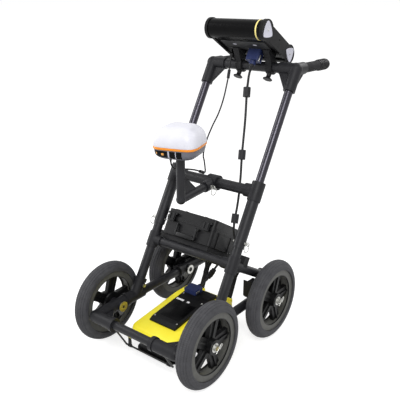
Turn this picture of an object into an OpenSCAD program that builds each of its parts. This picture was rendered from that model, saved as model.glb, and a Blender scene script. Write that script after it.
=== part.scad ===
// Ground penetrating radar cart: a push cart of bolted tubes on four wheels,
// with a slung radar sensor, a battery case, a satellite receiver and a display.
// Millimetres, +Z up, +Y towards the operator, origin on the ground under the
// middle of the cart's outer box.

/* [Wheels] */
// Outer radius of a tyre
tyre_r = 156; // [150:1:160]
// Width of a tyre
tyre_w = 56; // [50:1:60]
// Radius where the tyre sits on the rim
rim_r = 122; // [118:1:126]
// Width of the rim
rim_w = 44; // [38:1:48]
// Inner radius of the rim, where the windows end
window_r = 98; // [92:1:104]
// Radius of the hub
hub_r = 27; // [24:1:32]
// Length of the hub
hub_w = 56; // [50:1:58]
// Number of spokes
spoke_count = 5; // [4:1:7]
// Width of a spoke
spoke_w = 34; // [24:1:40]
// Thickness of a spoke
spoke_t = 16; // [10:1:22]
// Width of the raised rib along a spoke
spoke_rib_w = 7; // [4:1:12]
// Height of the raised rib along a spoke
spoke_rib_h = 5; // [2:1:8]

/* [Axles] */
// Distance between the front and rear axles
wheelbase = 400; // [390:1:420]
// Distance between the middles of the left and right tyres
track = 490; // [486:1:510]
// Radius of an axle
axle_r = 8; // [6:0.5:9]
// Radius of the flat head at an axle's inner end
axle_head_r = 20; // [16:1:22]
// Thickness of an axle's head
axle_head_t = 3; // [2:0.5:5]
// Length of an axle beyond the hub
axle_tail = 13; // [11:1:18]
// Outer radius of a wheel bearing
bearing_r = 15; // [13:0.5:18]
// Width of a wheel bearing
bearing_w = 11; // [8:1:14]

/* [Lower frame] */
// How far a side tube lies inside the middle of its tyres
frame_in = 54; // [51:1:58]
// Distance from the middle of the wheelbase forward to the front bar
front_reach = 311; // [300:1:320]
// Outer diameter of the side tubes
side_tube_od = 34; // [30:1:36]
// Outer diameter of the front and rear bars
bar_od = 31; // [26:1:34]
// Wall of every frame tube
tube_wall = 2; // [1.5:0.5:3]
// Outer diameter of the moulded sleeves
sleeve_od = 46; // [43:1:50]
// Outer diameter of the collar at a sleeve's end
collar_od = 52; // [51:1:56]
// Length of a sleeve's end collar
collar_w = 15; // [8:1:20]
// Length of a corner along the front or rear bar
bar_sleeve_len = 101; // [90:1:110]
// Length of a rear corner along the side tube
rear_sleeve_len = 200; // [190:1:210]
// Thickness of the web inside a corner
web_t = 9; // [6:1:14]
// Diameter of the wire bail in front of the sensor
bail_d = 7; // [5:1:9]
// Half width of the wire bail
bail_half = 115; // [100:1:125]
// Distance of the bail's bottom behind the front bar
bail_back = 75; // [70:1:80]
// Height of the bail's bottom above the ground
bail_z = 30; // [24:1:36]

/* [Uprights] */
// Lean of the uprights from vertical, in degrees
lean = 30.4; // [29:0.1:31]
// Distance of the legs' feet ahead of the middle of the wheelbase
foot_forward = 107; // [106:1:110]
// Outer diameter of the legs
leg_od = 37; // [35:1:37]
// Outer diameter of the thick middle tubes
main_od = 44; // [43:1:46]
// Wall of the thick middle tubes
main_wall = 3; // [2:0.5:3]
// Outer diameter of the thin upper tubes
upper_od = 32; // [28:1:34]
// Distance along a leg from its foot to the shelf
shelf_s = 231; // [226:1:236]
// Distance along a leg to the lock pin
pin_s = 318; // [312:1:324]
// Distance along a leg to the middle crossbar
tee_s = 509; // [500:1:520]
// Distance along a leg to the handle bar
handle_s = 987; // [970:1:1000]
// Outer diameter of the middle crossbar
mid_bar_od = 40; // [36:1:42]
// Outer diameter of the sleeves that join the middle crossbar
tee_od = 51; // [49:1:54]

/* [Handle] */
// Outer diameter of the handle bar
handle_od = 38; // [34:1:40]
// Outer diameter of the tubes inside the grips
grip_tube_od = 28; // [24:1:30]
// Outer diameter of the soft grips
grip_od = 38; // [34:1:42]
// Distance from the handle bar to the end of a grip
grip_reach = 164; // [150:1:180]
// Length of the ribbed cap on a grip
grip_cap_len = 69; // [50:1:80]
// Outer diameter of the ribbed cap on a grip
grip_cap_od = 41; // [40:1:46]

/* [Shelf] */
// Outer diameter of the shelf bars
shelf_bar_od = 34; // [30:1:34]
// Outer diameter of the shelf rails
rail_od = 34; // [30:1:34]
// Distance from the front shelf bar back to the rear one
shelf_depth = 203; // [196:1:215]
// Height of the tray under the battery case
tray_h = 20; // [14:1:24]

/* [Battery case] */
// Length of the battery case, across the cart
case_w = 232; // [210:1:240]
// Depth of the battery case
case_d = 180; // [165:1:190]
// Height of the case body below the lid
case_body_h = 66; // [56:1:74]
// Height of the case lid
case_lid_h = 34; // [28:1:40]
// Wall of the case
case_wall = 3.5; // [2.5:0.5:5]
// Gap from the case to the block on the left rail
case_gap = 17; // [10:1:20]

/* [Receiver] */
// Side of the square satellite receiver
gps_w = 162; // [150:1:170]
// Corner radius of the receiver
gps_corner_r = 38; // [32:1:44]
// Height of the receiver's grey base
gps_base_h = 36; // [30:1:42]
// Height of the receiver's coloured band
gps_band_h = 8; // [5:1:10]
// Height of the receiver's dome
gps_dome_h = 66; // [58:1:72]
// Height of the receiver's underside above the ground
gps_z = 740; // [725:1:750]
// Distance of the mast ahead of the middle crossbar
arm_reach = 196; // [185:1:205]
// Drop of the arm from the crossbar to the mast
arm_drop = 17; // [10:1:24]
// Diameter of the arm and its mast
arm_od = 32; // [28:1:34]

/* [Display] */
// Length of the display's housing, across the cart
display_w = 230; // [222:1:246]
// Distance between the axes of the two rounded edges
display_d = 186; // [176:1:196]
// Radius of the rounded front edge
display_front_r = 36; // [34:1:38]
// Radius of the rounded rear edge
display_rear_r = 33; // [32:1:36]
// Wall of the display's housing
display_wall = 3; // [2:0.5:4]
// Thickness of an end cap
end_cap_t = 12; // [8:1:14]
// Height of the display's middle above the handle bar
display_up = 66; // [64:1:72]
// How far the display's rear axis lies behind the bar
display_back = 18; // [10:1:26]
// Distance of each clamp from their middle
clamp_x = 68; // [60:1:76]
// Width of a clamp
clamp_w = 26; // [20:1:32]

/* [Sensor] */
// Half width of the sensor's shell
sensor_half = 112; // [104:1:118]
// How far the shell's front edge lies behind the front bar
sensor_back = 85; // [81:1:92]
// How far the shell's rear edge lies behind the middle
sensor_rear = 152; // [144:1:160]
// Height of the shell's lower edge above the ground
sensor_rim_z = 60; // [54:1:66]
// Height of the shell's front edge above the ground
sensor_front_z = 103; // [98:1:108]
// Height of the shell's top above the ground
sensor_top_z = 140; // [134:1:146]
// Wall of the shell
sensor_wall = 4; // [3:0.5:6]
// Height of the skid plate's underside above the ground
skid_z = 8; // [4:1:12]
// Thickness of the skid plate
skid_t = 6; // [4:1:8]
// Half width of the electronics module
module_half = 63; // [56:1:70]
// Height of the electronics module above the shell
module_h = 14; // [10:1:18]

/* [Cables] */
// Diameter of the sensor cable
main_cable_d = 9; // [8:1:10]
// Diameter of the receiver cable
gps_cable_d = 5; // [4:0.5:6]

/* [Hidden] */
$fn = 64;

// Overrun of every cut, and the gaps between pieces
cut = 1;
fit_gap = 0.1;
run_gap = 0.05;
seat_gap = 0.3;
side_gap = 0.6;
collar_gap = 2;
end_gap = 0.5;

// Places that follow from the driving sizes
axle_z = tyre_r;
axle_y = wheelbase / 2;
wheel_x = track / 2;
frame_half = wheel_x - frame_in;
socket_stop = sleeve_od / 2 + tube_wall;
shelf_y = shelf_s * sin(lean) - foot_forward;
shelf_z = axle_z + shelf_s * cos(lean);
rail_len = shelf_s / tan(lean);
rear_y = shelf_y + rail_len * cos(lean);
tee_y = tee_s * sin(lean) - foot_forward;
tee_z = axle_z + tee_s * cos(lean);
handle_y = handle_s * sin(lean) - foot_forward;
handle_z = axle_z + handle_s * cos(lean);
grip_end_y = handle_y + grip_reach + grip_cap_len;
box_mid_y = (grip_end_y - axle_y - tyre_r) / 2;
sensor_rear_drop = 26;
sensor_lug_z = sensor_top_z - sensor_rear_drop;

// Colours
black_plastic = [0.08, 0.08, 0.085];
black_tube = [0.16, 0.16, 0.17];
shiny_tube = [0.25, 0.25, 0.28];
rubber = [0.2, 0.2, 0.21];
steel = [0.75, 0.75, 0.74];
safety_yellow = [0.98, 0.88, 0.12];
navy = [0.13, 0.17, 0.36];

// Shared shapes

module placed() translate([0, -box_mid_y, 0]) children();

module both_sides() {
    children();
    mirror([1, 0, 0]) children();
}

module along_x() rotate([0, 90, 0]) children();

module along_y() rotate([-90, 0, 0]) children();

// The frame that leans with the uprights: Z up the legs, Y back and down
module lean_at(s)
    translate([0, -foot_forward, axle_z])
        rotate([-lean, 0, 0])
            translate([0, 0, s])
                children();

module rod(d, from, to)
    translate([0, 0, from])
        cylinder(d = d, h = to - from);

module tube(od, wall, from, to)
    difference() {
        rod(od, from, to);
        rod(od - 2 * wall, from - cut, to + cut);
    }

module ring(r, wire_r)
    rotate_extrude()
        translate([r, 0])
            circle(r = wire_r);

// A box with rounded upright corners, centred on X and Y
module round_box(size, r)
    linear_extrude(size[2])
        round_rect(size[0], size[1], r);

module round_rect(w, d, r) {
    square([w - 2 * r, d], center = true);
    square([w, d - 2 * r], center = true);
    for (x = [-1, 1], y = [-1, 1])
        translate([x * (w / 2 - r), y * (d / 2 - r)])
            circle(r = r);
}

// A flat link between two points of the YZ plane, centred on X
module link_yz(a, b, w, t) {
    run = b - a;
    translate([0, a[0], a[1]])
        rotate([atan2(run[1], run[0]), 0, 0])
            translate([-w / 2, 0, -t / 2])
                cube([w, norm(run), t]);
}

// Lower frame

axle_boss_od = 38;
axle_boss_in = 29;
hub_in_x = wheel_x - hub_w / 2;
hub_out_x = wheel_x + hub_w / 2;
axle_boss_x = hub_in_x - side_gap;
axle_head_x = frame_half - axle_boss_in;

module side_tubes()
    color(black_tube) placed() both_sides()
        translate([frame_half, 0, axle_z])
            difference() {
                along_y()
                    tube(side_tube_od, tube_wall, socket_stop - front_reach + fit_gap,
                         rear_y - socket_stop - fit_gap);
                for (side = [-1, 1])
                    translate([0, side * axle_y, 0])
                        along_x() rod(2 * (axle_r + fit_gap), -side_tube_od, side_tube_od);
            }

shelf_bar_half = frame_half - leg_od / 2 - tube_wall;
shelf_rear_half = frame_half - rail_od / 2 - seat_gap;

module cross_tubes()
    color(black_tube) placed() {
        bar_half = frame_half - socket_stop - fit_gap;
        for (y = [-front_reach, rear_y])
            translate([0, y, axle_z])
                along_x() tube(bar_od, tube_wall, -bar_half, bar_half);
        lean_at(shelf_s) {
            along_x() tube(shelf_bar_od, tube_wall, -shelf_bar_half, shelf_bar_half);
            translate([0, shelf_depth, 0])
                along_x() tube(shelf_bar_od, tube_wall, -shelf_rear_half, shelf_rear_half);
        }
    }

rail_socket_od = 42;
rail_socket_len = 44;
rail_seat = 36;
rail_start = leg_od / 2 + 2 * tube_wall;
rail_clear = (side_tube_od / 2 + rail_od / 2 * cos(lean) + 2 * tube_wall) / sin(lean);
rail_stop = rail_len - rail_clear;

module shelf_rails()
    color(black_tube) placed() both_sides()
        translate([frame_half, 0, 0])
            lean_at(shelf_s)
                along_y() tube(rail_od, tube_wall, rail_start + fit_gap, rail_stop - fit_gap);

// A collar at the end of a sleeve, from the end back
module sleeve(od, from, to, collar_from, collar_to) {
    rod(od, from, to);
    rod(collar_od, collar_from, collar_to);
}

web_slot_shares = [0.36, 0.30, 0.52, 0.62];

module corner_web(side_len, bar_len) {
    slot_y = web_slot_shares[0] * side_len;
    slot_x = web_slot_shares[1] * bar_len;
    translate([0, 0, -web_t / 2])
        linear_extrude(web_t)
            difference() {
                polygon([[0, 0], [-bar_len, 0], [0, side_len]]);
                polygon([
                    [-slot_x, slot_y * web_slot_shares[2]],
                    [-slot_x, slot_y],
                    [-slot_x - web_t, slot_y * web_slot_shares[3]]
                ]);
            }
}

web_side_share = 0.62;
web_bar_share = 0.82;

module front_corner()
    translate([frame_half, -front_reach, axle_z])
        difference() {
            union() {
                sphere(d = sleeve_od);
                along_y()
                    sleeve(sleeve_od, 0, front_sleeve_len,
                           front_sleeve_len - collar_w, front_sleeve_len);
                along_x()
                    sleeve(sleeve_od, -bar_sleeve_len, 0,
                           -bar_sleeve_len, collar_w - bar_sleeve_len);
                corner_web(front_sleeve_len * web_side_share, bar_sleeve_len * web_bar_share);
                translate([0, front_reach - axle_y, 0])
                    along_x() rod(axle_boss_od, -axle_boss_in, axle_boss_x - frame_half);
            }
            along_y() rod(side_tube_od + 2 * fit_gap, socket_stop, front_sleeve_len + cut);
            along_x() rod(bar_od + 2 * fit_gap, -bar_sleeve_len - cut, -socket_stop);
            translate([0, front_reach - axle_y, 0])
                along_x() rod(2 * (axle_r + fit_gap), -axle_boss_in - cut, track);
            bail_socket();
        }

module rear_corner()
    translate([frame_half, rear_y, axle_z])
        difference() {
            union() {
                sphere(d = sleeve_od);
                along_y()
                    sleeve(sleeve_od, -rear_sleeve_len, 0,
                           -rear_sleeve_len, collar_w - rear_sleeve_len);
                along_x()
                    sleeve(sleeve_od, -bar_sleeve_len, 0,
                           -bar_sleeve_len, collar_w - bar_sleeve_len);
                rotate([-lean, 0, 0])
                    along_y() rod(rail_socket_od, -rail_clear - rail_seat, 0);
                translate([0, axle_y - rear_y, 0])
                    along_x() rod(axle_boss_od, -axle_boss_in, axle_boss_x - frame_half);
            }
            along_y() rod(side_tube_od + 2 * fit_gap, -rear_sleeve_len - cut, -socket_stop);
            along_x() rod(bar_od + 2 * fit_gap, -bar_sleeve_len - cut, -socket_stop);
            rotate([-lean, 0, 0])
                along_y() rod(rail_od + 2 * fit_gap, -rail_len, rail_stop - rail_len);
            translate([0, axle_y - rear_y, 0])
                along_x() rod(2 * (axle_r + fit_gap), -axle_boss_in - cut, track);
        }

module frame_corners()
    color(black_plastic) placed() both_sides() {
        front_corner();
        rear_corner();
    }

// The wire bail, hung from the front corners
bail_seat = 6;
bail_knee_d = 8;
bail_low = [bail_back, bail_z - axle_z];
bail_angle = atan2(bail_low[1], bail_low[0]);
bail_leg = norm(bail_low);

module bail_socket()
    translate([bail_half - frame_half, 0, 0])
        rotate([bail_angle, 0, 0])
            along_y() rod(bail_d + 2 * fit_gap, sleeve_od / 2 - bail_seat, sleeve_od);

module front_bail()
    color(black_plastic) placed()
        translate([0, -front_reach, axle_z]) {
            for (side = [-1, 1])
                translate([side * bail_half, 0, 0])
                    rotate([bail_angle, 0, 0])
                        along_y() rod(bail_d, sleeve_od / 2 - bail_seat + fit_gap, bail_leg);
            translate([0, bail_low[0], bail_low[1]]) {
                along_x() rod(bail_d, -bail_half, bail_half);
                for (side = [-1, 1])
                    translate([side * bail_half, 0, 0])
                        sphere(d = bail_knee_d);
            }
        }

// Uprights

leg_start = (side_tube_od / 2 + leg_od / 2 * sin(lean) + tube_wall) / cos(lean);
leg_end = 385;
main_start = 296;
tee_below = 36;
tee_above = 36;
tee_lip = 14;
main_end = tee_s + tee_above - tee_lip;
upper_start = tee_s - tee_below;
upper_end = handle_s - sleeve_od / 2 - tube_wall;
pin_r = 4;
pin_hole_r = pin_r + fit_gap;

module leg_tubes()
    color(black_tube) placed() both_sides()
        translate([frame_half, 0, 0])
            lean_at(0)
                difference() {
                    union() {
                        tube(leg_od, tube_wall, leg_start + fit_gap, leg_end);
                        tube(main_od, main_wall, main_start, main_end);
                    }
                    translate([0, 0, pin_s])
                        along_x() rod(2 * pin_hole_r, -main_od, main_od);
                }

module upper_tubes()
    color(shiny_tube) placed() both_sides()
        translate([frame_half, 0, 0])
            lean_at(0)
                tube(upper_od, tube_wall, upper_start, upper_end - fit_gap);

foot_len = 82;
front_sleeve_len = front_reach - foot_forward - foot_len / 2 - collar_gap;
foot_socket_len = 72;
cross_half = 31;
cross_bar_len = 44;
bolt_boss_od = 18;
bolt_boss_out = 27;

// A short boss that takes a bolt, pointing inwards
module bolt_boss() along_x() rod(bolt_boss_od, -bolt_boss_out, 0);

module bolt_bore()
    along_x() rod(2 * (bolt_r + fit_gap), -bolt_boss_out - cut, bolt_len - bolt_boss_out);

module foot_socket()
    translate([frame_half, 0, 0])
        difference() {
            union() {
                translate([0, -foot_forward, axle_z])
                    along_y() rod(sleeve_od, -foot_len / 2, foot_len / 2);
                lean_at(0) {
                    rod(sleeve_od, 0, foot_socket_len);
                    rod(collar_od, foot_socket_len - collar_w, foot_socket_len);
                    translate([0, 0, foot_socket_len - collar_od / 2])
                        bolt_boss();
                }
            }
            translate([0, -foot_forward, axle_z])
                along_y() rod(side_tube_od + 2 * fit_gap, -foot_len, foot_len);
            lean_at(0) {
                rod(leg_od + 2 * fit_gap, leg_start, foot_socket_len + cut);
                translate([0, 0, foot_socket_len - collar_od / 2])
                    bolt_bore();
            }
        }

module shelf_cross()
    translate([frame_half, 0, 0])
        lean_at(shelf_s)
            difference() {
                union() {
                    rod(sleeve_od, -cross_half, cross_half);
                    along_x() rod(rail_socket_od, -cross_bar_len, 0);
                    along_y() rod(rail_socket_od, 0, rail_socket_len);
                }
                rod(leg_od + 2 * fit_gap, -cross_half - cut, cross_half + cut);
                along_x()
                    rod(shelf_bar_od + 2 * fit_gap, -cross_bar_len - cut, shelf_bar_half - frame_half);
                along_y() rod(rail_od + 2 * fit_gap, rail_start, rail_socket_len + cut);
            }

module leg_fittings()
    color(black_plastic) placed() both_sides() {
        foot_socket();
        shelf_cross();
    }

tee_bar_len = 46;
mid_bar_half = frame_half - main_od / 2 - tube_wall;

module tee_fittings()
    color(black_plastic) placed() both_sides()
        translate([frame_half, 0, 0])
            lean_at(tee_s)
                difference() {
                    union() {
                        rod(tee_od, -tee_below, tee_above);
                        along_x() rod(tee_od, -tee_bar_len, 0);
                    }
                    rod(main_od + 2 * fit_gap, -tee_below - cut, main_end - tee_s + fit_gap);
                    rod(upper_od + 2 * fit_gap, -tee_below - cut, tee_above + cut);
                    along_x()
                        rod(mid_bar_od + 2 * fit_gap, -tee_bar_len - cut, mid_bar_half - frame_half);
                }

module mid_crossbar()
    color(black_tube) placed()
        lean_at(tee_s)
            along_x() tube(mid_bar_od, main_wall, -mid_bar_half, mid_bar_half);

// Foot bolts, and lock pins with wire rings

bolt_r = 4;
bolt_len = bolt_boss_out - leg_od / 2 - side_gap;
bolt_head_r = 8;
bolt_head_t = 5;
pin_head_r = 7;
pin_head_t = 4;
pin_out = 6;
pin_eye_r = 6;
pin_wire_r = 1.6;
pin_ring_r = 15;

module bolt()
    along_x() {
        rod(2 * bolt_r, -bolt_boss_out - bolt_head_t, bolt_len - bolt_boss_out - fit_gap);
        translate([0, 0, -bolt_boss_out - bolt_head_t - fit_gap])
            cylinder(r = bolt_head_r, h = bolt_head_t, $fn = 6);
    }

// A pin through a tube, with an eye and a ring outside
module lock_pin(od) {
    along_x() {
        rod(2 * pin_r, -od / 2 - pin_out, od / 2 + pin_out);
        rod(2 * pin_head_r, od / 2 + seat_gap, od / 2 + seat_gap + pin_head_t);
    }
    translate([od / 2 + pin_out + pin_eye_r, 0, 0])
        rotate([90, 0, 0])
            ring(pin_eye_r, pin_wire_r);
    translate([od / 2 + pin_out + pin_eye_r, 0, -pin_ring_r])
        along_x()
            ring(pin_ring_r, pin_wire_r);
}

module frame_fasteners()
    color(steel) placed() {
        both_sides()
            translate([frame_half, 0, 0]) {
                lean_at(foot_socket_len - collar_od / 2)
                    bolt();
                lean_at(pin_s)
                    lock_pin(main_od);
            }
        arm_frame()
            translate([0, 0, arm_pin_at])
                rotate([-arm_angle, 0, 0])
                    lock_pin(arm_socket_od);
    }

// Handle

handle_sleeve_len = 88;
handle_ball_od = 50;
handle_bar_sleeve = 66;
grip_sleeve_len = 54;
gusset_t = 12;
gusset_lip = sleeve_od * 0.42;

// A web between two sleeves, the second turned on from square
module gusset(a, b, turn) {
    far = [-sin(turn), cos(turn)] * (b - cut);
    lip = [cos(turn), sin(turn)] * gusset_lip;
    translate([0, 0, -gusset_t / 2])
        linear_extrude(gusset_t)
            polygon([[0, 0], [a - cut, 0], [a - cut, gusset_lip], far + lip, far]);
}

module handle_corner()
    translate([frame_half, 0, 0])
        difference() {
            union() {
                lean_at(handle_s) {
                    sphere(d = handle_ball_od);
                    rod(sleeve_od, -handle_sleeve_len, 0);
                    along_x() rod(sleeve_od, -handle_bar_sleeve, 0);
                    rotate([90, 180, 0])
                        gusset(handle_bar_sleeve, handle_sleeve_len, 0);
                    along_x() gusset(handle_sleeve_len, grip_sleeve_len, lean);
                }
                translate([0, handle_y, handle_z])
                    along_y() rod(sleeve_od, 0, grip_sleeve_len);
            }
            lean_at(handle_s) {
                rod(upper_od + 2 * fit_gap, -handle_sleeve_len - cut, upper_end - handle_s);
                along_x() rod(handle_od + 2 * fit_gap, -handle_bar_sleeve - cut, -socket_stop);
            }
            translate([0, handle_y, handle_z])
                along_y() rod(grip_tube_od + 2 * fit_gap, socket_stop, grip_sleeve_len + cut);
        }

module handle_corners()
    color(black_plastic) placed() both_sides() handle_corner();

grip_start = handle_y + grip_sleeve_len;
grip_end = handle_y + grip_reach;

module handle_tubes()
    color(black_tube) placed() {
        lean_at(handle_s)
            along_x() {
                half = frame_half - socket_stop - fit_gap;
                tube(handle_od, tube_wall, -half, half);
            }
        both_sides()
            translate([frame_half, 0, handle_z])
                along_y()
                    tube(grip_tube_od, tube_wall, handle_y + socket_stop + fit_gap,
                         grip_end + grip_cap_len / 2);
    }

module grips()
    color(rubber) placed() both_sides()
        translate([frame_half, 0, handle_z])
            along_y()
                difference() {
                    rod(grip_od, grip_start + seat_gap, grip_end - seat_gap);
                    rod(grip_tube_od + 2 * fit_gap, grip_start - cut, grip_end + cut);
                }

cap_rib_count = 5;
cap_rib_h = 1.5;
cap_rib_w = 4;

module grip_caps()
    color(black_plastic) placed() both_sides()
        translate([frame_half, 0, handle_z])
            along_y()
                difference() {
                    union() {
                        rod(grip_cap_od, grip_end, grip_end_y);
                        for (i = [1:cap_rib_count])
                            translate([0, 0, grip_end + i * grip_cap_len / (cap_rib_count + 1)])
                                rod(grip_cap_od + 2 * cap_rib_h, -cap_rib_w / 2, cap_rib_w / 2);
                    }
                    rod(grip_tube_od + 2 * fit_gap, grip_end - cut, grip_end + grip_cap_len / 2 + fit_gap);
                }

// Wheels and axles

module at_axles()
    for (y = [-axle_y, axle_y])
        translate([0, y, axle_z])
            both_sides()
                children();

module axles()
    color(steel) placed() at_axles()
        along_x() {
            rod(2 * axle_r, axle_head_x - axle_head_t, hub_out_x + axle_tail);
            rod(2 * axle_head_r, axle_head_x - axle_head_t, axle_head_x - fit_gap);
        }

clip_washer_r = 17;
clip_washer_t = 2;
clip_nut_r = 11;
clip_nut_t = 7;
clip_lever = [5, 12, 30];

module axle_clips()
    color(steel) placed() at_axles() {
        washer_x = hub_out_x + side_gap;
        nut_x = washer_x + clip_washer_t;
        along_x()
            difference() {
                union() {
                    rod(2 * clip_washer_r, washer_x, nut_x);
                    translate([0, 0, nut_x])
                        cylinder(r = clip_nut_r, h = clip_nut_t, $fn = 6);
                }
                rod(2 * (axle_r + fit_gap), washer_x - cut, nut_x + clip_nut_t + cut);
            }
        translate([hub_out_x + axle_tail + fit_gap, -clip_lever[1] / 2, -axle_r])
            cube(clip_lever);
    }

module wheel_bearings()
    color(steel) placed() at_axles()
        along_x()
            for (x = [hub_in_x, hub_out_x - bearing_w])
                difference() {
                    rod(2 * bearing_r, x, x + bearing_w);
                    rod(2 * (axle_r + run_gap), x - cut, x + bearing_w + cut);
                }

module tyre(side, y)
    color(rubber) placed()
        translate([side * wheel_x, y, axle_z])
            along_x()
                rotate_extrude($fn = 96)
                    difference() {
                        translate([tyre_r - tyre_w / 2, 0])
                            circle(d = tyre_w);
                        translate([0, -tyre_w])
                            square([rim_r + fit_gap, 2 * tyre_w]);
                    }

rim_lip = 5;
rim_lip_w = 4;
spoke_flare_share = 1.25;
spoke_turn = 18;
spoke_reach = window_r + rim_lip + rim_lip_w;
hub_bore_r = 10;
hub_flange_r = 40;
hub_flange_t = 8;

// The rim's section: radius, then distance across
module rim_section()
    polygon([
        [window_r, -rim_w / 2],
        [rim_r, -rim_w / 2],
        [rim_r, rim_w / 2],
        [window_r, rim_w / 2],
        [window_r, rim_w / 2 - rim_lip_w],
        [window_r + rim_lip, rim_w / 2 - 2 * rim_lip_w],
        [window_r + rim_lip, 2 * rim_lip_w - rim_w / 2],
        [window_r, rim_lip_w - rim_w / 2]
    ]);

// The spokes in plan, all of them as one shape
module spoke_plan(root_w, end_w)
    for (i = [0:spoke_count - 1])
        rotate(spoke_turn + i * 360 / spoke_count)
            polygon([
                [0, -root_w / 2],
                [spoke_reach, -end_w / 2],
                [spoke_reach, end_w / 2],
                [0, root_w / 2]
            ]);

// A wheel's inward side carries the hub's flange
module wheel(side, y)
    color(black_plastic) placed()
        translate([side * wheel_x, y, axle_z])
            rotate([0, side * 90, 0])
                difference() {
                    union() {
                        rotate_extrude($fn = 96) rim_section();
                        rod(2 * hub_r, -hub_w / 2, hub_w / 2);
                        rod(2 * hub_flange_r, -hub_w / 2, hub_flange_t - hub_w / 2);
                        translate([0, 0, -spoke_t / 2])
                            linear_extrude(spoke_t)
                                spoke_plan(spoke_w, spoke_w * spoke_flare_share);
                        translate([0, 0, -spoke_t / 2 - spoke_rib_h])
                            linear_extrude(spoke_t + 2 * spoke_rib_h)
                                spoke_plan(spoke_rib_w, spoke_rib_w);
                    }
                    rod(2 * hub_bore_r, -hub_w, hub_w);
                    rod(2 * (bearing_r + run_gap), -hub_w, bearing_w + fit_gap - hub_w / 2);
                    rod(2 * (bearing_r + run_gap), hub_w / 2 - bearing_w - fit_gap, hub_w);
                }

module front_left_tyre() tyre(-1, -axle_y);
module front_right_tyre() tyre(1, -axle_y);
module rear_left_tyre() tyre(-1, axle_y);
module rear_right_tyre() tyre(1, axle_y);
module front_left_wheel() wheel(-1, -axle_y);
module front_right_wheel() wheel(1, -axle_y);
module rear_left_wheel() wheel(-1, axle_y);
module rear_right_wheel() wheel(1, axle_y);

// Shelf, its tray and the blocks on the rails

tray_in = 10;
tray_front = 6;
tray_wall = 4;
tray_z = shelf_bar_od / 2 + seat_gap;
tray_w = case_w - 2 * tray_in;
tray_d = shelf_depth + shelf_bar_od / 2 - tray_front;
block_w = 32;
case_left = frame_half - block_w / 2 - case_w / 2 - case_gap;
block_len = 32;
block_top = 46;
block_y = rail_socket_len + seat_gap;

module shelf_tray()
    color(black_plastic) placed()
        lean_at(shelf_s) {
            translate([-case_left, tray_front + tray_d / 2, tray_z])
                difference() {
                    translate([-tray_w / 2, -tray_d / 2, 0])
                        cube([tray_w, tray_d, tray_h]);
                    translate([tray_wall - tray_w / 2, tray_wall - tray_d / 2, -cut])
                        cube([tray_w - 2 * tray_wall, tray_d - 2 * tray_wall, tray_h - tray_wall + cut]);
                    translate([case_left, -tray_front - tray_d / 2, -tray_z])
                        both_sides()
                            translate([frame_half, 0, 0])
                                along_x() rod(rail_socket_od + 2 * seat_gap, -cross_bar_len - seat_gap, 0);
                }
            both_sides()
                translate([frame_half, 0, 0])
                    difference() {
                        translate([-block_w / 2, block_y, 0])
                            cube([block_w, block_len, block_top]);
                        along_y() rod(rail_od + 2 * fit_gap, block_y - cut, block_y + block_len + cut);
                    }
        }

// Webbing: two long straps behind, two short tabs ahead

strap_w = 24;
strap_t = 3;
strap_xs = [92, -45];
shelf_rear_y = shelf_y + shelf_depth * cos(lean);
shelf_rear_z = shelf_z - shelf_depth * sin(lean);
strap_loop_r = shelf_bar_od / 2 + seat_gap;
strap_lug = [26, 14, 10];
strap_lug_back = 12;
strap_lug_y = sensor_rear - strap_lug_back - strap_lug[1] / 2;
strap_lug_z = sensor_lug_z + 2 * strap_lug[2];
strap_top = [shelf_rear_y, shelf_rear_z];
strap_low = [strap_lug_y, strap_lug_z + seat_gap + strap_t / 2];
strap_dir = (strap_low - strap_top) / norm(strap_low - strap_top);
tab_w = 16;
tab_x = 96;
tab_loop_r = bail_d / 2 + seat_gap;
tab_lug = [20, 14, 10];
tab_lug_z = sensor_rim_z + tab_lug[2] / 2;
bail_y = bail_back - front_reach;

module strap_loop(r, w)
    along_x() tube(2 * (r + strap_t), strap_t, -w / 2, w / 2);

module sling_straps()
    color(black_plastic) placed() {
        for (x = strap_xs)
            translate([x, 0, 0]) {
                translate([0, shelf_rear_y, shelf_rear_z])
                    strap_loop(strap_loop_r, strap_w);
                link_yz(strap_top + strap_dir * (strap_loop_r + strap_t / 2), strap_low, strap_w, strap_t);
            }
        for (side = [-1, 1])
            translate([side * tab_x, bail_y, bail_z]) {
                strap_loop(tab_loop_r, tab_w);
                link_yz([0, tab_loop_r + strap_t / 2], [0, tab_lug_z - seat_gap - bail_z], tab_w, strap_t);
            }
    }

// Odometer on the hub flange of the rear right wheel

odo_w = 34;
odo_x = axle_boss_x - odo_w - side_gap;
odo_z = axle_z + collar_od / 2 + seat_gap;
odo_front_y = 97;
odo_rear_y = 186;
odo_h = 60;
odo_rear_h = 45;
odo_fin_h = 78;
odo_fin_w = 12;
odo_roller_r = 12;
odo_shaft_r = 3;
odo_shaft_len = 24;
odo_angle = 50;
odo_reach = hub_flange_r + odo_roller_r + seat_gap;
odo_axis = [axle_y - odo_reach * cos(odo_angle), axle_z + odo_reach * sin(odo_angle)];

module extrude_x(from, to)
    translate([from, 0, 0])
        rotate([90, 0, 90])
            linear_extrude(to - from)
                children();

module odometer_housing()
    color(black_plastic) placed()
        difference() {
            extrude_x(odo_x, odo_x + odo_w)
                polygon([
                    [odo_front_y, odo_z + odo_fin_w],
                    [odo_front_y + odo_fin_w, odo_z],
                    [odo_rear_y, odo_z],
                    [odo_rear_y, odo_z + odo_rear_h],
                    [odo_rear_y - (odo_h - odo_rear_h) / tan(lean), odo_z + odo_h],
                    [odo_front_y + odo_fin_w, odo_z + odo_h],
                    [odo_front_y, odo_z + odo_fin_h]
                ]);
            translate([0, odo_axis[0], odo_axis[1]])
                along_x()
                    rod(2 * (odo_shaft_r + run_gap), odo_x + odo_w - odo_shaft_len, odo_x + odo_w + cut);
        }

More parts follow.
